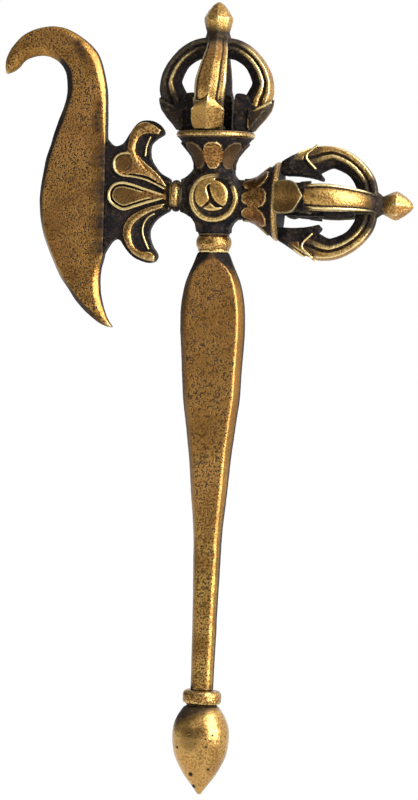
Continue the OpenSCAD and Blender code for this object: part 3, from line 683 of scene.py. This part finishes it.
medal_brass = aged_brass("medallion_brass", (0.74, 0.47, 0.14), (0.42, 0.23, 0.065), satin=0.6,
                         pits=0.35, near=0.0009, far=0.006,
                         floor=((HUB_T / 2 - 0.1) * MM, (HUB_T / 2 + 0.35) * MM))
for sign, node in ((-1, "hub_medallion_front"), (1, "hub_medallion_rear")):
    solids = [turned("disc", [(DISC_R, 0), (DISC_R, MEDAL_T * 0.7), (DISC_R - 0.2, MEDAL_T * 0.8)])]
    for lobe, rise in ((LEFT_LOBE, 0.95), (RIGHT_LOBE, 1.1), (LOWER_LOBE, 0.85)):
        top = MEDAL_T + SWIRL_H * rise
        levels = ((1.12, MEDAL_T / 2), (1.1, top - 0.7), (1.0, top - 0.38), (0.78, top - 0.13),
                  (0.4, top + 0.02))
        solids.append(loft("lobe", [[(SWIRL_X + x, SWIRL_Z + z, y)
                                     for x, z in shrunk(flowing(lobe, 2, True), s)]
                                    for s, y in levels]))
    medal = joined(solids)
    medal.name = "swirl_medallion_" + ("front" if sign < 0 else "rear")
    cast(medal, voxel=0.12, soften=2, lumps=0.05, grit=0.05)
    seat(medal, Matrix.Translation((0, sign * (HUB_T / 2 - MEDAL_T), 0))
         @ Matrix.Rotation(-sign * pi / 2, 4, "X"))
    own(medal, medal_brass, node)

# Grip: a long flat faced handle, broad under a pointed arch and slim towards the pommel. It is
# cast and filed: two flats with bevels beside them, and the patina left on its narrow sides.
GRIP_LEN = 109.4
GRIP_W = 16.0
GRIP_T = 7.0
SHAFT_W = 5.5
GRIP_BEVEL = 1.8
BOW = 0.5
# distance below the shoulder, and half width as a share between shaft and full width
GRIP_SHAPE = [
    (0, 0.2), (1, 0.28), (2.5, 0.39), (5.2, 0.61), (8, 0.8), (11, 0.92), (14.5, 0.99), (19.7, 1),
    (24.2, 0.95), (30.2, 0.88), (36.5, 0.81), (42.2, 0.67), (51.7, 0.45), (59.4, 0.33),
    (67, 0.19), (72.7, 0.12), (80.5, 0.09), (88.2, 0.05), (96.5, 0.03), (104.5, 0.005),
    (109.4, 0)]
# half width of the flat in its pointed arch, by distance below the shoulder
ARCH = [(0, 0.05), (1.5, 0.05), (2.3, 1.5), (3.4, 3.1), (5.2, 4.4)]
# painted shade added to the left bevels, which face away from the key light
LEFT_SHADE = 0.3

grip_rings = []
grip_marks = []
for down, share in flowing(GRIP_SHAPE, 4):
    half_w = (SHAFT_W + share * (GRIP_W - SHAFT_W)) / 2
    thick = lookup(down / GRIP_LEN, [(0, 0.9), (0.012, 1), (0.45, 1), (0.75, 0.3), (1, 0)])
    half_t = (SHAFT_W + thick * (GRIP_T - SHAFT_W)) / 2
    bevel = lookup(down, [(5.2, 1.5), (9, GRIP_BEVEL), (50, GRIP_BEVEL - 0.1),
                          (75, GRIP_BEVEL - 0.4)])
    flat = lookup(down, ARCH) if down < ARCH[-1][0] else half_w - bevel
    rim = half_t * 0.42
    # the bevel starts with a narrow flatter strip, broader on the slim end
    strip = lookup(down, [(45, 0.28), (75, 0.55)])
    near_flat = (flat + (half_w - flat) * strip, half_t - (half_t - rim) * strip * 0.5)
    on_flat = lookup(down, [(0, 1), (1.2, 0.8), (2, 0.15), (40, 0.05), (60, 0)])
    on_bevel = lookup(down, [(0, 1), (4, 1), (6.5, 0.2), (8, 0), (107.6, 0), (108.8, 0.8)])
    on_rim = max(on_bevel, lookup(down, [(45, 0.5), (65, 0.2)]))
    quarter = [(flat, half_t, on_flat), (*near_flat, max(on_bevel, on_rim * 0.3)),
               (half_w, rim, on_rim), (half_w, rim - 0.25, 1)]
    half_ring = [(x, -y, m) for x, y, m in quarter] + [(x, y, m) for x, y, m in quarter[::-1]]
    # the left bevels get painted shade, as on the side away from the key light
    ring = half_ring + [(-x, -y, min(1, m + (LEFT_SHADE if x > flat else 0)))
                        for x, y, m in half_ring]
    middle = BOW * sin(pi * down / GRIP_LEN)
    grip_rings.append([(middle + x, y, GRIP_TOP - down) for x, y, m in ring])
    grip_marks.append([m for x, y, m in ring])
grip = loft("flat_faced_grip", grip_rings, grip_marks)
cast(grip, voxel=0.22, soften=2, lumps=0.12, grit=0.05)
seat(grip)
grip_brass = aged_brass("filed_brass_grip", (0.54, 0.325, 0.085), (0.30, 0.155, 0.040),
                        (0.95, 0.75, 0.35), pits=0.9, sides=0.9, edges=0.6, warm=(-0.03, 0.035))
own(grip, grip_brass, "grip")

# Pommel bud: a pointed lotus bud, cast solid on a pin and rubbed bright all round, with a few
# casting flaws.
BUD_LEN = 22.5
BUD_D = 14.3
BUD_SHAPE = [(0.5, 0), (0.6, 0.01), (0.72, 0.06), (0.83, 0.12), (0.96, 0.22), (1, 0.34),
             (0.965, 0.47), (0.9, 0.56), (0.81, 0.63), (0.68, 0.71), (0.55, 0.78), (0.36, 0.86),
             (0.19, 0.93), (0.06, 0.99)]
# casting flaws, and one brown patch on its front that is a painted dark reflection, as x, z, radius
# and strength
FLAWS_AND_REFLECTION = ((2.2, -7.7, 0.35, 1), (2.4, -9.7, 0.45, 1), (3.8, -6.8, 0.4, 1), (3.5, -8.1, 0.3, 1),
         (2.7, -15.5, 0.5, 1), (-1.7, -16.9, 0.8, 1), (-5.2, -10.2, 0.5, 1), (-1.3, -20.2, 0.8, 1),
         # the last one is the painted dark reflection of what stands in front of the bud
         (-1.9, -8.2, 3.6, 0.5))


def bud_flaws_and_reflection(spot, kept):
    """Patina in the flaws, and the painted dark reflection, on the front of the bud only."""
    for fx, fz, reach, share in FLAWS_AND_REFLECTION:
        near = hypot(spot.x - fx, spot.z - fz) / reach
        if spot.y < 0 and near < 1:
            kept = max(kept, lookup(near, [(0.5, share), (1, 0)]))
    return kept


bud = turned("lotus_bud", [(r * BUD_D / 2, -s * BUD_LEN) for r, s in flowing(BUD_SHAPE, 2)])
# patina under the band, with most of it left on one side
paint(bud, lambda spot, kept: lookup(-spot.z + 0.4 * spot.x, [(1.2, 0.95), (3.4, 0)]))
cast(bud, voxel=0.22, soften=2, lumps=0.12, grit=0.04)
paint(bud, bud_flaws_and_reflection)
seat(bud, Matrix.Translation((0, 0, RING_TOP - RING_H)))
bud_brass = aged_brass("rubbed_bud_brass", (0.62, 0.37, 0.115), (0.36, 0.19, 0.055),
                       (0.94, 0.72, 0.33), pits=0.6, sides=0.0, rough=0.27, satin=0.7, edges=0.2)
own(bud, bud_brass, "pommel_bud")

# Lotus cups: the flared cups that carry the prongs, with eight raised petals. Only the petals are
# rubbed; the cup between and under them is black.
CUP_H = 8.6
CUP_R = 9.1
RIM_R = 9.85
RIM_H = 1.9
CUP_TOP = ARM_UP + CUP_H
PETAL_RISE = 0.5
CUP_STEPS = [(0, 0), (0.1, 0), (0.38, 0.17), (0.68, 0.55), (0.9, 0.85), (1, 1)]
PETAL_SHAPE = [(-0.11, 0.8), (-0.02, 1.4), (0.15, 1.9), (0.4, 2.4), (0.6, 2.55), (0.75, 2.2),
               (0.88, 1.0)]
TOP_TWIST = radians(2.5)
SIDE_TWIST = radians(5)
at_top = Matrix.Translation((-0.25, 0, 0)) @ Matrix.Rotation(TOP_TWIST, 4, "Z")
at_side = (Matrix.Translation((0, 0, -DROP)) @ Matrix.Rotation(pi / 2 + DROOP, 4, "Y")
           @ Matrix.Translation((0, 0, ARM_RIGHT - ARM_UP)) @ Matrix.Rotation(-SIDE_TWIST, 4, "Z"))
VAJRAS = (("top", at_top), ("side", at_side))

cup_len = CUP_H - RIM_H
steps = [-0.13 + 1.13 * k / 45 for k in range(46)]
cup = turned("cup", [(NECK_R + lookup(s, CUP_STEPS) * (CUP_R - NECK_R), ARM_UP + s * cup_len)
                     for s in steps], sides=192)
paint(cup, 1)
for corner_or_edge in [*cup.data.vertices, *cup.data.edges]:
    corner_or_edge.select = False
for face in cup.data.polygons:
    x, y, z = face.center
    s = (z - ARM_UP) / cup_len
    angle = (atan2(y, x) + pi / 8) % (pi / 4) - pi / 8
    within = abs(angle) * hypot(x, y) < lookup(s, PETAL_SHAPE) - 0.1
    face.select = -0.12 < s < 0.88 and within and len(face.vertices) < 5
bpy.ops.object.mode_set(mode="EDIT")
bpy.ops.mesh.select_mode(type="FACE")
bpy.ops.mesh.extrude_region_shrink_fatten(
    TRANSFORM_OT_shrink_fatten={"value": PETAL_RISE})
bpy.ops.mesh.select_mode(type="VERT")
bpy.ops.object.mode_set(mode="OBJECT")
marks = cup.data.color_attributes["soot_and_shade"].data
for face in cup.data.polygons:
    if face.select:
        for index in face.vertices:
            marks[index].color = (0, 0, 0, 1)
cast(cup, voxel=0.18, soften=4, lumps=0.10, grit=0.07)
cup_brass = aged_brass("cup_brass", (0.46, 0.25, 0.072), (0.22, 0.105, 0.03), (0.80, 0.58, 0.25),
                       pits=0.8, sides=0.0, near=0.0016, edges=0.8)


def copy_of(piece, name):
    """A copy of a modelled piece with its own mesh."""
    twin = piece.copy()
    twin.data = piece.data.copy()
    twin.name = name
    bpy.context.collection.objects.link(twin)
    return twin


# the petals beside the front and back ones kept more patina, most of all at the top
BESIDE = {"top": [(0.40, 0), (0.44, 0.85), (1.8, 0.85), (2.4, 0.97)],
          "side": [(0.40, 0), (0.44, 0.15), (1.8, 0.15), (2.4, 0.5)]}
for where, place in VAJRAS:
    twin = copy_of(cup, where + "_petal_cup")
    paint(twin, lambda spot, kept: max(kept, lookup(abs(spot.x) / (abs(spot.y) + 0.01),
                                                    BESIDE[where])))
    seat(twin, place)
    own(twin, cup_brass, where + "_lotus_cup")
bpy.data.objects.remove(cup)

# Rims: narrow brass bands round the mouth of each cup, worn bright along the middle and black
# towards the cup and in the mouth.
RIM_SIDES = 96
rim = turned("rim", [(CUP_R - 0.55, CUP_TOP - RIM_H), (CUP_R, CUP_TOP - RIM_H),
                     (RIM_R - 0.25, CUP_TOP - RIM_H + 0.4), (RIM_R, CUP_TOP - RIM_H * 0.6),
                     (RIM_R, CUP_TOP - RIM_H * 0.35), (RIM_R - 0.35, CUP_TOP),
                     (CUP_R - 1.2, CUP_TOP)], sides=RIM_SIDES,
             marks=[[level] * RIM_SIDES for level in (1, 1, 0.85, 0, 0.2, 1, 1)])
cast(rim, voxel=0.16, soften=2, lumps=0.16, grit=0.08)
for where, place in VAJRAS:
    twin = copy_of(rim, where + "_cup_band")
    seat(twin, place)
    own(twin, bead_brass, where + "_cup_rim")
bpy.data.objects.remove(rim)

# Prongs: each half vajra has four bent prongs, cast with a grooved back and a shield shaped head.
# Seen from the side a prong springs from an open jaw, and its inner flank is black.
JAW_W = 3.2
LIP_R = 0.36
# inner height and radius, outer height and radius, width
ARC = [
    (0.8, 6.7, 1.8, 9.4, 6.0), (3.0, 6.6, 4.6, 11.8, 6.2), (5.0, 6.5, 6.6, 13.2, 6.3),
    (7.4, 6.4, 8.2, 14.0, 6.4), (9.6, 7.6, 9.8, 14.4, 6.6), (12, 8.8, 12, 14.3, 6.7),
    (13.4, 8.5, 14.3, 13.8, 6.5), (14.6, 8, 16.7, 12.7, 6.2), (15.8, 7.3, 19, 11, 5.8),
    (16.8, 6.3, 21, 9, 5.4), (17.6, 5.1, 22.4, 6.9, 5.1), (18.1, 3.9, 23.2, 4.8, 4.8),
    (18.3, 2.4, 23.6, 2.4, 4.6)]
# share from inner to outer edge, share of the half width, patina
FLANK = [
    (0, 0.34, 1), (0.1, 0.56, 1), (0.26, 0.74, 1), (0.36, 0.80, 1), (0.40, 0.95, 0.2),
    (0.48, 1.0, 0), (0.56, 0.95, 0.2), (0.60, 0.78, 1), (0.66, 0.78, 1), (0.70, 0.95, 0.1),
    (0.80, 1.0, 0)]
# the same over the back, from the flank to the middle
RIDGE_LEFT = [(0.85, 0.95, 0.9), (0.85, 0.89, 0.8), (0.79, 0.84, 1), (0.80, 0.79, 0.9),
              (0.86, 0.72, 0), (0.92, 0.4, 0.1), (1.0, 0.0, 0)]
RIDGE_RIGHT = [(0.85, 0.93, 0), (0.89, 0.66, 0), (0.85, 0.60, 1), (0.86, 0.53, 1), (0.92, 0.46, 0),
               (1.0, 0.0, 0)]
ROUNDED = [(0.92, 0.94, 0.2), (0.95, 0.84, 0.2), (0.94, 0.79, 0.5), (0.86, 0.72, 1), (0.87, 0.66, 1),
           (0.91, 0.59, 0), (0.95, 0.46, 0), (0.985, 0.22, 0), (1.0, 0.0, 0)]
# outline of the jaw seen from the side, radius and height over the cup, and the lip on it
TOP_JAW = [
    (4.9, 0), (8.1, 0), (8.6, 1), (9.8, 2.6), (11.2, 4.6), (12.1, 6), (12.4, 7), (11.7, 6.9),
    (10.6, 6.3), (9.2, 6.8), (8.4, 8.2), (7.6, 9.2), (6.4, 9.5), (5.1, 9.4), (4.7, 8), (4.8, 4)]
TOP_LIP = [(14.0, 7.5), (12.4, 6.7), (10.4, 5.6), (8.9, 4.6), (8.4, 3.4), (8.3, 1.0)]
SIDE_JAW = [
    (6.9, 0), (8.3, 0), (9.4, 1.6), (10.6, 3.4), (11.8, 5.3), (12.6, 6.8), (12.9, 7.8),
    (12.4, 7.3), (11.6, 6.3), (10.3, 6.5), (8.6, 8.2), (7.3, 9.6), (6.3, 10.4), (5.7, 10),
    (6.1, 8.6), (6.5, 6.5), (6.8, 3.4)]
SIDE_LIP = [(14.2, 8.9), (13.0, 7.6), (11.8, 6.3), (10.6, 6.2), (9.3, 7.3), (8.0, 8.6)]
# bare side of the head between lip and shield
CHEEK = [(10.2, 2.8), (11.4, 4), (12.6, 5.9), (13.3, 7.2), (12.4, 6.6), (11.2, 5.4), (10.2, 5.2)]
# half width of the shield on the head, and its outer radius, by height over the cup
TOP_SHIELD = [(0.2, 3.4), (0.9, 3.8), (2.2, 4.1), (4.6, 4.15), (5.3, 3.9), (6.7, 2.0), (8.2, 0.15)]
TOP_FACE = [(0, 9.8), (1.6, 11), (3.2, 12.4), (5.4, 13.9), (6.8, 14.4), (8.1, 14.6)]
SIDE_SHIELD = [(-0.2, 2.4), (0.6, 3.5), (2.3, 3.9), (3.8, 2.9), (5.2, 1.8), (6.6, 0.3)]
SIDE_FACE = [(-0.2, 9.9), (1.6, 10.9), (3.4, 12), (4.8, 12.9), (6.4, 13.8)]
# the plate on the front prong at the side, that laps over the rim
PLATE = [(-0.9, 3.2), (0, 4.1), (2.8, 4.2), (4.8, 3.3), (6.7, 0.3)]
PLATE_FACE = [(-0.9, 10.6), (1, 11), (2.8, 11.7), (4.8, 13), (6.7, 14.2)]
# sideways lean of the upper front prong, by height over the cup
FRONT_LEAN = [(0, -1.4), (3, -1.3), (8, -0.85), (12.5, -0.4), (20, 0.6), (22.5, 0.3), (23.6, 0)]


def prong(name, backs, jaw_outline, lip, shield_shape, shield_face, lip_soot, cheek_soot, ridge,
          shield_soot=((0, 0),), foot=((0, 0),), shade=0.0, rise=1.0, broad=1.0, lean=((0, 0),)):
    """A prong in the plane of X and Z, its parts given by their outlines.

    backs are the profiles of the two halves of its back, lip_soot and cheek_soot the patina of the
    lip and the cheek, ridge how far the shield's middle stands out, shield_soot and foot the
    patina of the shield and the arc's back by height, shade the painted shade added on the shield's
    left, the side away from the key light, rise and broad the stretch of the arc's height and of
    its foot's width, and lean the sideways shift by height."""
    rings = []
    ring_marks = []
    for hi, ri, ho, ro, width in flowing(ARC, 5):
        ring = []
        for sign, back in zip((-1, 1), backs):
            half_w = sign * width / 2 * lookup(ho, [(12, broad), (21, 1)])
            half = [(ri + (ro - ri) * t, half_w * w, hi + (ho - hi) * t, m)
                    for t, w, m in FLANK + back]
            ring += half if sign < 0 else half[-2::-1]
        crown = lookup(ho, [(20.8, 0), (21.8, 0.6), (22.8, 0.97)])
        rings.append([(r, w, CUP_TOP + h * rise) for r, w, h, m in ring])
        ring_marks.append([max(m, crown, lookup(ho - abs(w) * 0.6, foot)) for r, w, h, m in ring])
    solids = [loft(name, rings, ring_marks)]
    outline = flowing(jaw_outline, 2, True)
    solids.append(loft("jaw", [[(r, w, CUP_TOP + h) for r, h in outline] for w in (-JAW_W, JAW_W)],
                       [[1] * len(outline)] * 2))
    for sign in (-1, 1):
        edge = bead_line("lip", [(r, CUP_TOP + h) for r, h in lip], LIP_R, sign * (JAW_W + 0.25))
        paint(edge, lip_soot)
        solids.append(edge)
    solids.append(loft("cheek", [[(r, w, CUP_TOP + h) for r, h in CHEEK]
                                 for w in (-JAW_W - 0.3, JAW_W + 0.3)],
                       [[max(m, cheek_soot) for m in (0.95, 0.6, 0, 0, 0, 0.3, 0.95)]] * 2))
    shield_rings = []
    shield_marks = []
    for height, half in flowing(shield_shape, 4):
        face = lookup(height, shield_face)
        fall = ridge * lookup(height, [(4.5, 1), (8.2, 0.4)])
        low = face - fall
        kept = lookup(height, shield_soot)
        side = [(8, 0.9, 1), (low - 0.5, 1, max(kept, 0.6)), (low, 0.95, min(1, kept * 1.9)),
                (face - fall * 0.2, 0.22, kept), (face, 0.04, kept * 0.3)]
        shield_rings.append([(r, -half * w, CUP_TOP + height) for r, w, m in side]
                            + [(r, half * w, CUP_TOP + height) for r, w, m in side[::-1]])
        marks = [m for r, w, m in side]
        # the shield's left facet gets painted shade on top of its patina
        shield_marks.append([min(1, m + shade) for m in marks] + marks[::-1])
    solids.append(loft("shield", shield_rings, shield_marks))
    made = joined(solids)
    made.name = name
    for vert in made.data.vertices:
        vert.co.y += lookup(vert.co.z - CUP_TOP, lean)
    cast(made, voxel=0.18, soften=2, lumps=0.14, grit=0.09)
    return made


cage_brass = aged_brass("cage_brass", (0.64, 0.385, 0.115), (0.34, 0.175, 0.05), (0.97, 0.80, 0.38),
                        pits=0.35, sides=0.0, near=0.0014, far=0.016)
top_parts = ((RIDGE_LEFT, RIDGE_RIGHT), TOP_JAW, TOP_LIP, TOP_SHIELD, TOP_FACE)
side_parts = ((ROUNDED, ROUNDED), SIDE_JAW, SIDE_LIP)
# the leaning prong's shield has painted shade on its left facet
leaning = prong("leaning_prong", *top_parts, lip_soot=0.9, cheek_soot=0.9, ridge=1.7, shade=0.35,
                broad=1.14, lean=FRONT_LEAN)
ridged = prong("ridged_prong", *top_parts, lip_soot=0, cheek_soot=0.93, ridge=1.3,
               shield_soot=[(0, 0.93)])
plated = prong("plated_prong", *side_parts, PLATE, PLATE_FACE, lip_soot=0.97, cheek_soot=1,
               ridge=0.2, shield_soot=[(5.4, 0.4), (6.7, 0)], foot=[(6, 0.95), (7, 0)], rise=1.03)
smooth = prong("smooth_prong", *side_parts, SIDE_SHIELD, SIDE_FACE, lip_soot=0, cheek_soot=0,
               ridge=0.2, shield_soot=[(3.2, 1), (4.4, 0)], foot=[(7, 0.9), (8.4, 0)], rise=1.03)
# level of what is nearly black, patina and painted shade alike
NEARLY_BLACK = 0.97
# width of the rear prongs as a share of the others', by height over the cup: the upper one is
# broader at its foot, where it shows beside the front one
REAR_WIDTH = {"top": [(8, 1.1), (11, 0.8)], "side": [(0, 0.8)]}


def left_patina_and_shade(spot, kept):
    """Patina with painted shade over it on the foot and the back of the left prong, the side away
    from the key light, and less on its inner side above.
    """
    height = spot.z - CUP_TOP
    inside = hypot(spot.x, height - 9.5) < 12
    return max(kept, lookup(height, [(9, NEARLY_BLACK), (12.5, 0.1)]) if inside else NEARLY_BLACK)


for where, place, model, ends in (
        ("top", at_top, leaning, (("front", -90),)),
        ("top", at_top, ridged, (("rear", 90), ("left", 180), ("right", 0))),
        ("side", at_side, plated, (("front", -90),)),
        ("side", at_side, smooth, (("rear", 90), ("upper", 180), ("lower", 0)))):
    for end, angle in ends:
        twin = copy_of(model, where + "_bent_prong_" + end)
        if end == "rear":
            for vert in twin.data.vertices:
                vert.co.y *= lookup(vert.co.z - CUP_TOP, REAR_WIDTH[where])
            # the rear prong, deep in the cage, is painted nearly black: painted shade over its
            # patina
            paint(twin, lambda spot, kept: max(kept, NEARLY_BLACK))
        if end == "left":
            paint(twin, left_patina_and_shade)
        seat(twin, place @ Matrix.Rotation(radians(angle), 4, "Z"))
        own(twin, cage_brass, where + "_prong_" + end)
    bpy.data.objects.remove(model)

# Centre prongs: slim turned rods in the middle of each cage, black with patina.
CENTRE_R = 1.5
FOOT_H = 18.3
rod = turned("rod", [(CENTRE_R + 0.7, CUP_TOP), (CENTRE_R + 0.9, CUP_TOP + 0.9),
                     (CENTRE_R + 0.2, CUP_TOP + 2), (CENTRE_R, CUP_TOP + FOOT_H / 2),
                     (CENTRE_R - 0.1, CUP_TOP + FOOT_H)], sides=32)
cast(rod, voxel=0.16, soften=1, lumps=0.20, grit=0.10)
paint(rod, 0.85)
dark_brass = aged_brass("sooty_brass", (0.40, 0.25, 0.08), (0.22, 0.12, 0.04), (0.70, 0.50, 0.22),
                        pits=0.8, sides=0.0)
for where, place in VAJRAS:
    twin = copy_of(rod, where + "_centre_rod")
    seat(twin, place)
    own(twin, dark_brass, where + "_centre_prong")
bpy.data.objects.remove(rod)

# Finials: the pointed buds over the prongs, with soft facets over a dark neck. Each ends below in
# a square stem that the four prongs lean on.
STEM_W = 5.3
FINIAL_R = 3.75
FINIAL_H = 8.8
# height of the crown under it, and radius at the neck and the belly of each finial
FINIALS = (("top", at_top, CUP_TOP + 23.7, 2.95, 3.3), ("side", at_side, CUP_TOP + 24.4, 2.3, 2.9))
# patina by rings: black up to the neck, and over the neck patina with painted shade, most of all on
# the left, away from the key light
FINIAL_SOOT_AND_SHADE = [[NEARLY_BLACK] * 8] * 3 + [(0.2, 0.3, 0.6, 0.8, 0.8, 0.8, 0.6, 0.3)] + [[0] * 8] * 5
finial_brass = aged_brass("rubbed_finial_brass", (0.62, 0.375, 0.11), (0.36, 0.19, 0.055),
                          pits=0.35, sides=0.0, rough=0.29)
for where, place, crown, neck, belly in FINIALS:
    up = [(neck, 0.12), (belly, 0.26), (FINIAL_R * 0.96, 0.42), (FINIAL_R, 0.52),
          (FINIAL_R * 0.7, 0.73), (FINIAL_R * 0.36, 0.91)]
    tip = turned("tip", [(3.4, crown - 0.8), (3.2, crown)]
                 + [(radius, crown + FINIAL_H * share) for radius, share in up]
                 + [(0.25, crown + FINIAL_H - 0.05)], sides=8, marks=FINIAL_SOOT_AND_SHADE)
    half = STEM_W / 2
    stem = loft("stem", [[(x * half, y * half, z) for x, y in ((-1, -1), (1, -1), (1, 1), (-1, 1))]
                         for z in (CUP_TOP + FOOT_H, crown - 0.3)], [[NEARLY_BLACK] * 4] * 2)
    made = joined([tip, stem])
    made.name = where + "_faceted_finial"
    cast(made, voxel=0.17, soften=9, lumps=0.22, grit=0.08)
    seat(made, place)
    own(made, finial_brass, where + "_finial")

# Stand: a plain white floor some way under the pommel. The camera and the metal see it nearly
# pure white, and it still takes the object's shadow.
FLOOR_Z = -0.2
bpy.ops.object.select_all(action="DESELECT")
bpy.ops.mesh.primitive_plane_add(size=6, location=(0, 0, FLOOR_Z))
floor = bpy.context.object
floor.name = "studio_floor"
white = bpy.data.materials.new("white_floor")
white.use_nodes = True
tree = white.node_tree
tree.nodes["Principled BSDF"].inputs["Base Color"].default_value = (0.9, 0.9, 0.9, 1)
tree.nodes["Principled BSDF"].inputs["Roughness"].default_value = 0.9


def combine(tree, step, *levels):
    """One step of arithmetic over all the levels in turn."""
    total = levels[0]
    for level in levels[1:]:
        total = link(tree, "Math", {0: total, 1: level}, operation=step).outputs[0]
    return total


rays = link(tree, "LightPath").outputs
seen = combine(tree, "MAXIMUM", rays["Is Camera Ray"], rays["Is Glossy Ray"],
               rays["Is Transmission Ray"])
glow = link(tree, "Emission", {"Color": (1, 1, 1, 1), "Strength": 1.02})
blend = link(tree, "MixShader", {0: combine(tree, "MULTIPLY", seen, 0.97),
                                 1: tree.nodes["Principled BSDF"].outputs[0], 2: glow.outputs[0]})
tree.links.new(blend.outputs[0], tree.nodes["Material Output"].inputs[0])
floor.data.materials.append(white)

# Studio light: soft light all round from the world, brighter from the right and dark on the left,
# with a large key lamp on the right and a faint fill on the left. The camera sees the world white.
world = bpy.data.worlds.new("studio")
bpy.context.scene.world = world
world.use_nodes = True
tree = world.node_tree
ways = link(tree, "SeparateXYZ", {0: link(tree, "TexCoord").outputs["Generated"]}).outputs


def sweep(way, low, high, start, end, ease="SMOOTHSTEP"):
    """A level that changes between two places along X, Y or Z of the sky."""
    return link(tree, "MapRange", {"Value": ways[way], "From Min": low, "From Max": high,
                                   "To Min": start, "To Max": end},
                interpolation_type=ease).outputs[0]


rays = link(tree, "LightPath").outputs
# from the left to the right, dimmer in front, with a faint light at the far left and from above
across = combine(tree, "MULTIPLY", sweep(0, -0.9, 0.7, 0.05, 1.2), sweep(1, -0.98, -0.82, 0.36, 1.0))
across = combine(tree, "MAXIMUM", across, sweep(0, -0.55, -0.95, 0.0, 0.3, "LINEAR"))
across = combine(tree, "ADD", across, sweep(2, 0.15, 0.6, 0.0, 0.2, "LINEAR"))
plain = combine(tree, "MULTIPLY", sweep(1, 0.45, 0.95, 0.0, 1.0), rays["Is Glossy Ray"])
level = combine(tree, "MAXIMUM", across, plain, rays["Is Camera Ray"], rays["Is Transmission Ray"])
tree.nodes["Background"].inputs["Color"].default_value = (1, 1, 1, 1)
tree.links.new(level, tree.nodes["Background"].inputs["Strength"])

OBJECT_MIDDLE = Vector((0, 0, 0.018))


def softbox(name, spot, width, height, power):
    """A large soft lamp that faces the object's middle."""
    lamp = bpy.data.lights.new(name, "AREA")
    lamp.shape = "RECTANGLE"
    lamp.size = width
    lamp.size_y = height
    lamp.energy = power
    lamp_object = bpy.data.objects.new(name, lamp)
    lamp_object.location = spot
    lamp_object.rotation_euler = (OBJECT_MIDDLE - Vector(spot)).to_track_quat("-Z", "Y").to_euler()
    bpy.context.collection.objects.link(lamp_object)


softbox("key_right", (0.75, -0.40, 0.30), width=0.7, height=1.0, power=13)
softbox("fill_left", (-0.45, -0.75, 0.35), width=0.5, height=0.5, power=0.2)

# Camera: nearly level with the object, eight degrees round to the right, and rolled so that the
# grip leans as it does in the photograph.
TURN = radians(8)
RISE = radians(1)
LEAN = radians(1.545)
DISTANCE = 1.0
LENS = 180
AIM = Vector((-0.00016, 0, 0.0179))
lens = bpy.data.cameras.new("camera")
lens.lens = LENS
lens.sensor_width = 36
lens.clip_start = 0.05
camera = bpy.data.objects.new("camera", lens)
bpy.context.collection.objects.link(camera)
away = Vector((sin(TURN) * cos(RISE), -cos(TURN) * cos(RISE), sin(RISE)))
camera.location = AIM + away * DISTANCE
facing = away.to_track_quat("Z", "Y").to_matrix().to_4x4()
camera.matrix_world = (Matrix.Translation(camera.location) @ facing
                       @ Matrix.Rotation(LEAN, 4, "Z"))
bpy.context.scene.camera = camera
bpy.context.scene.view_settings.view_transform = "Standard"
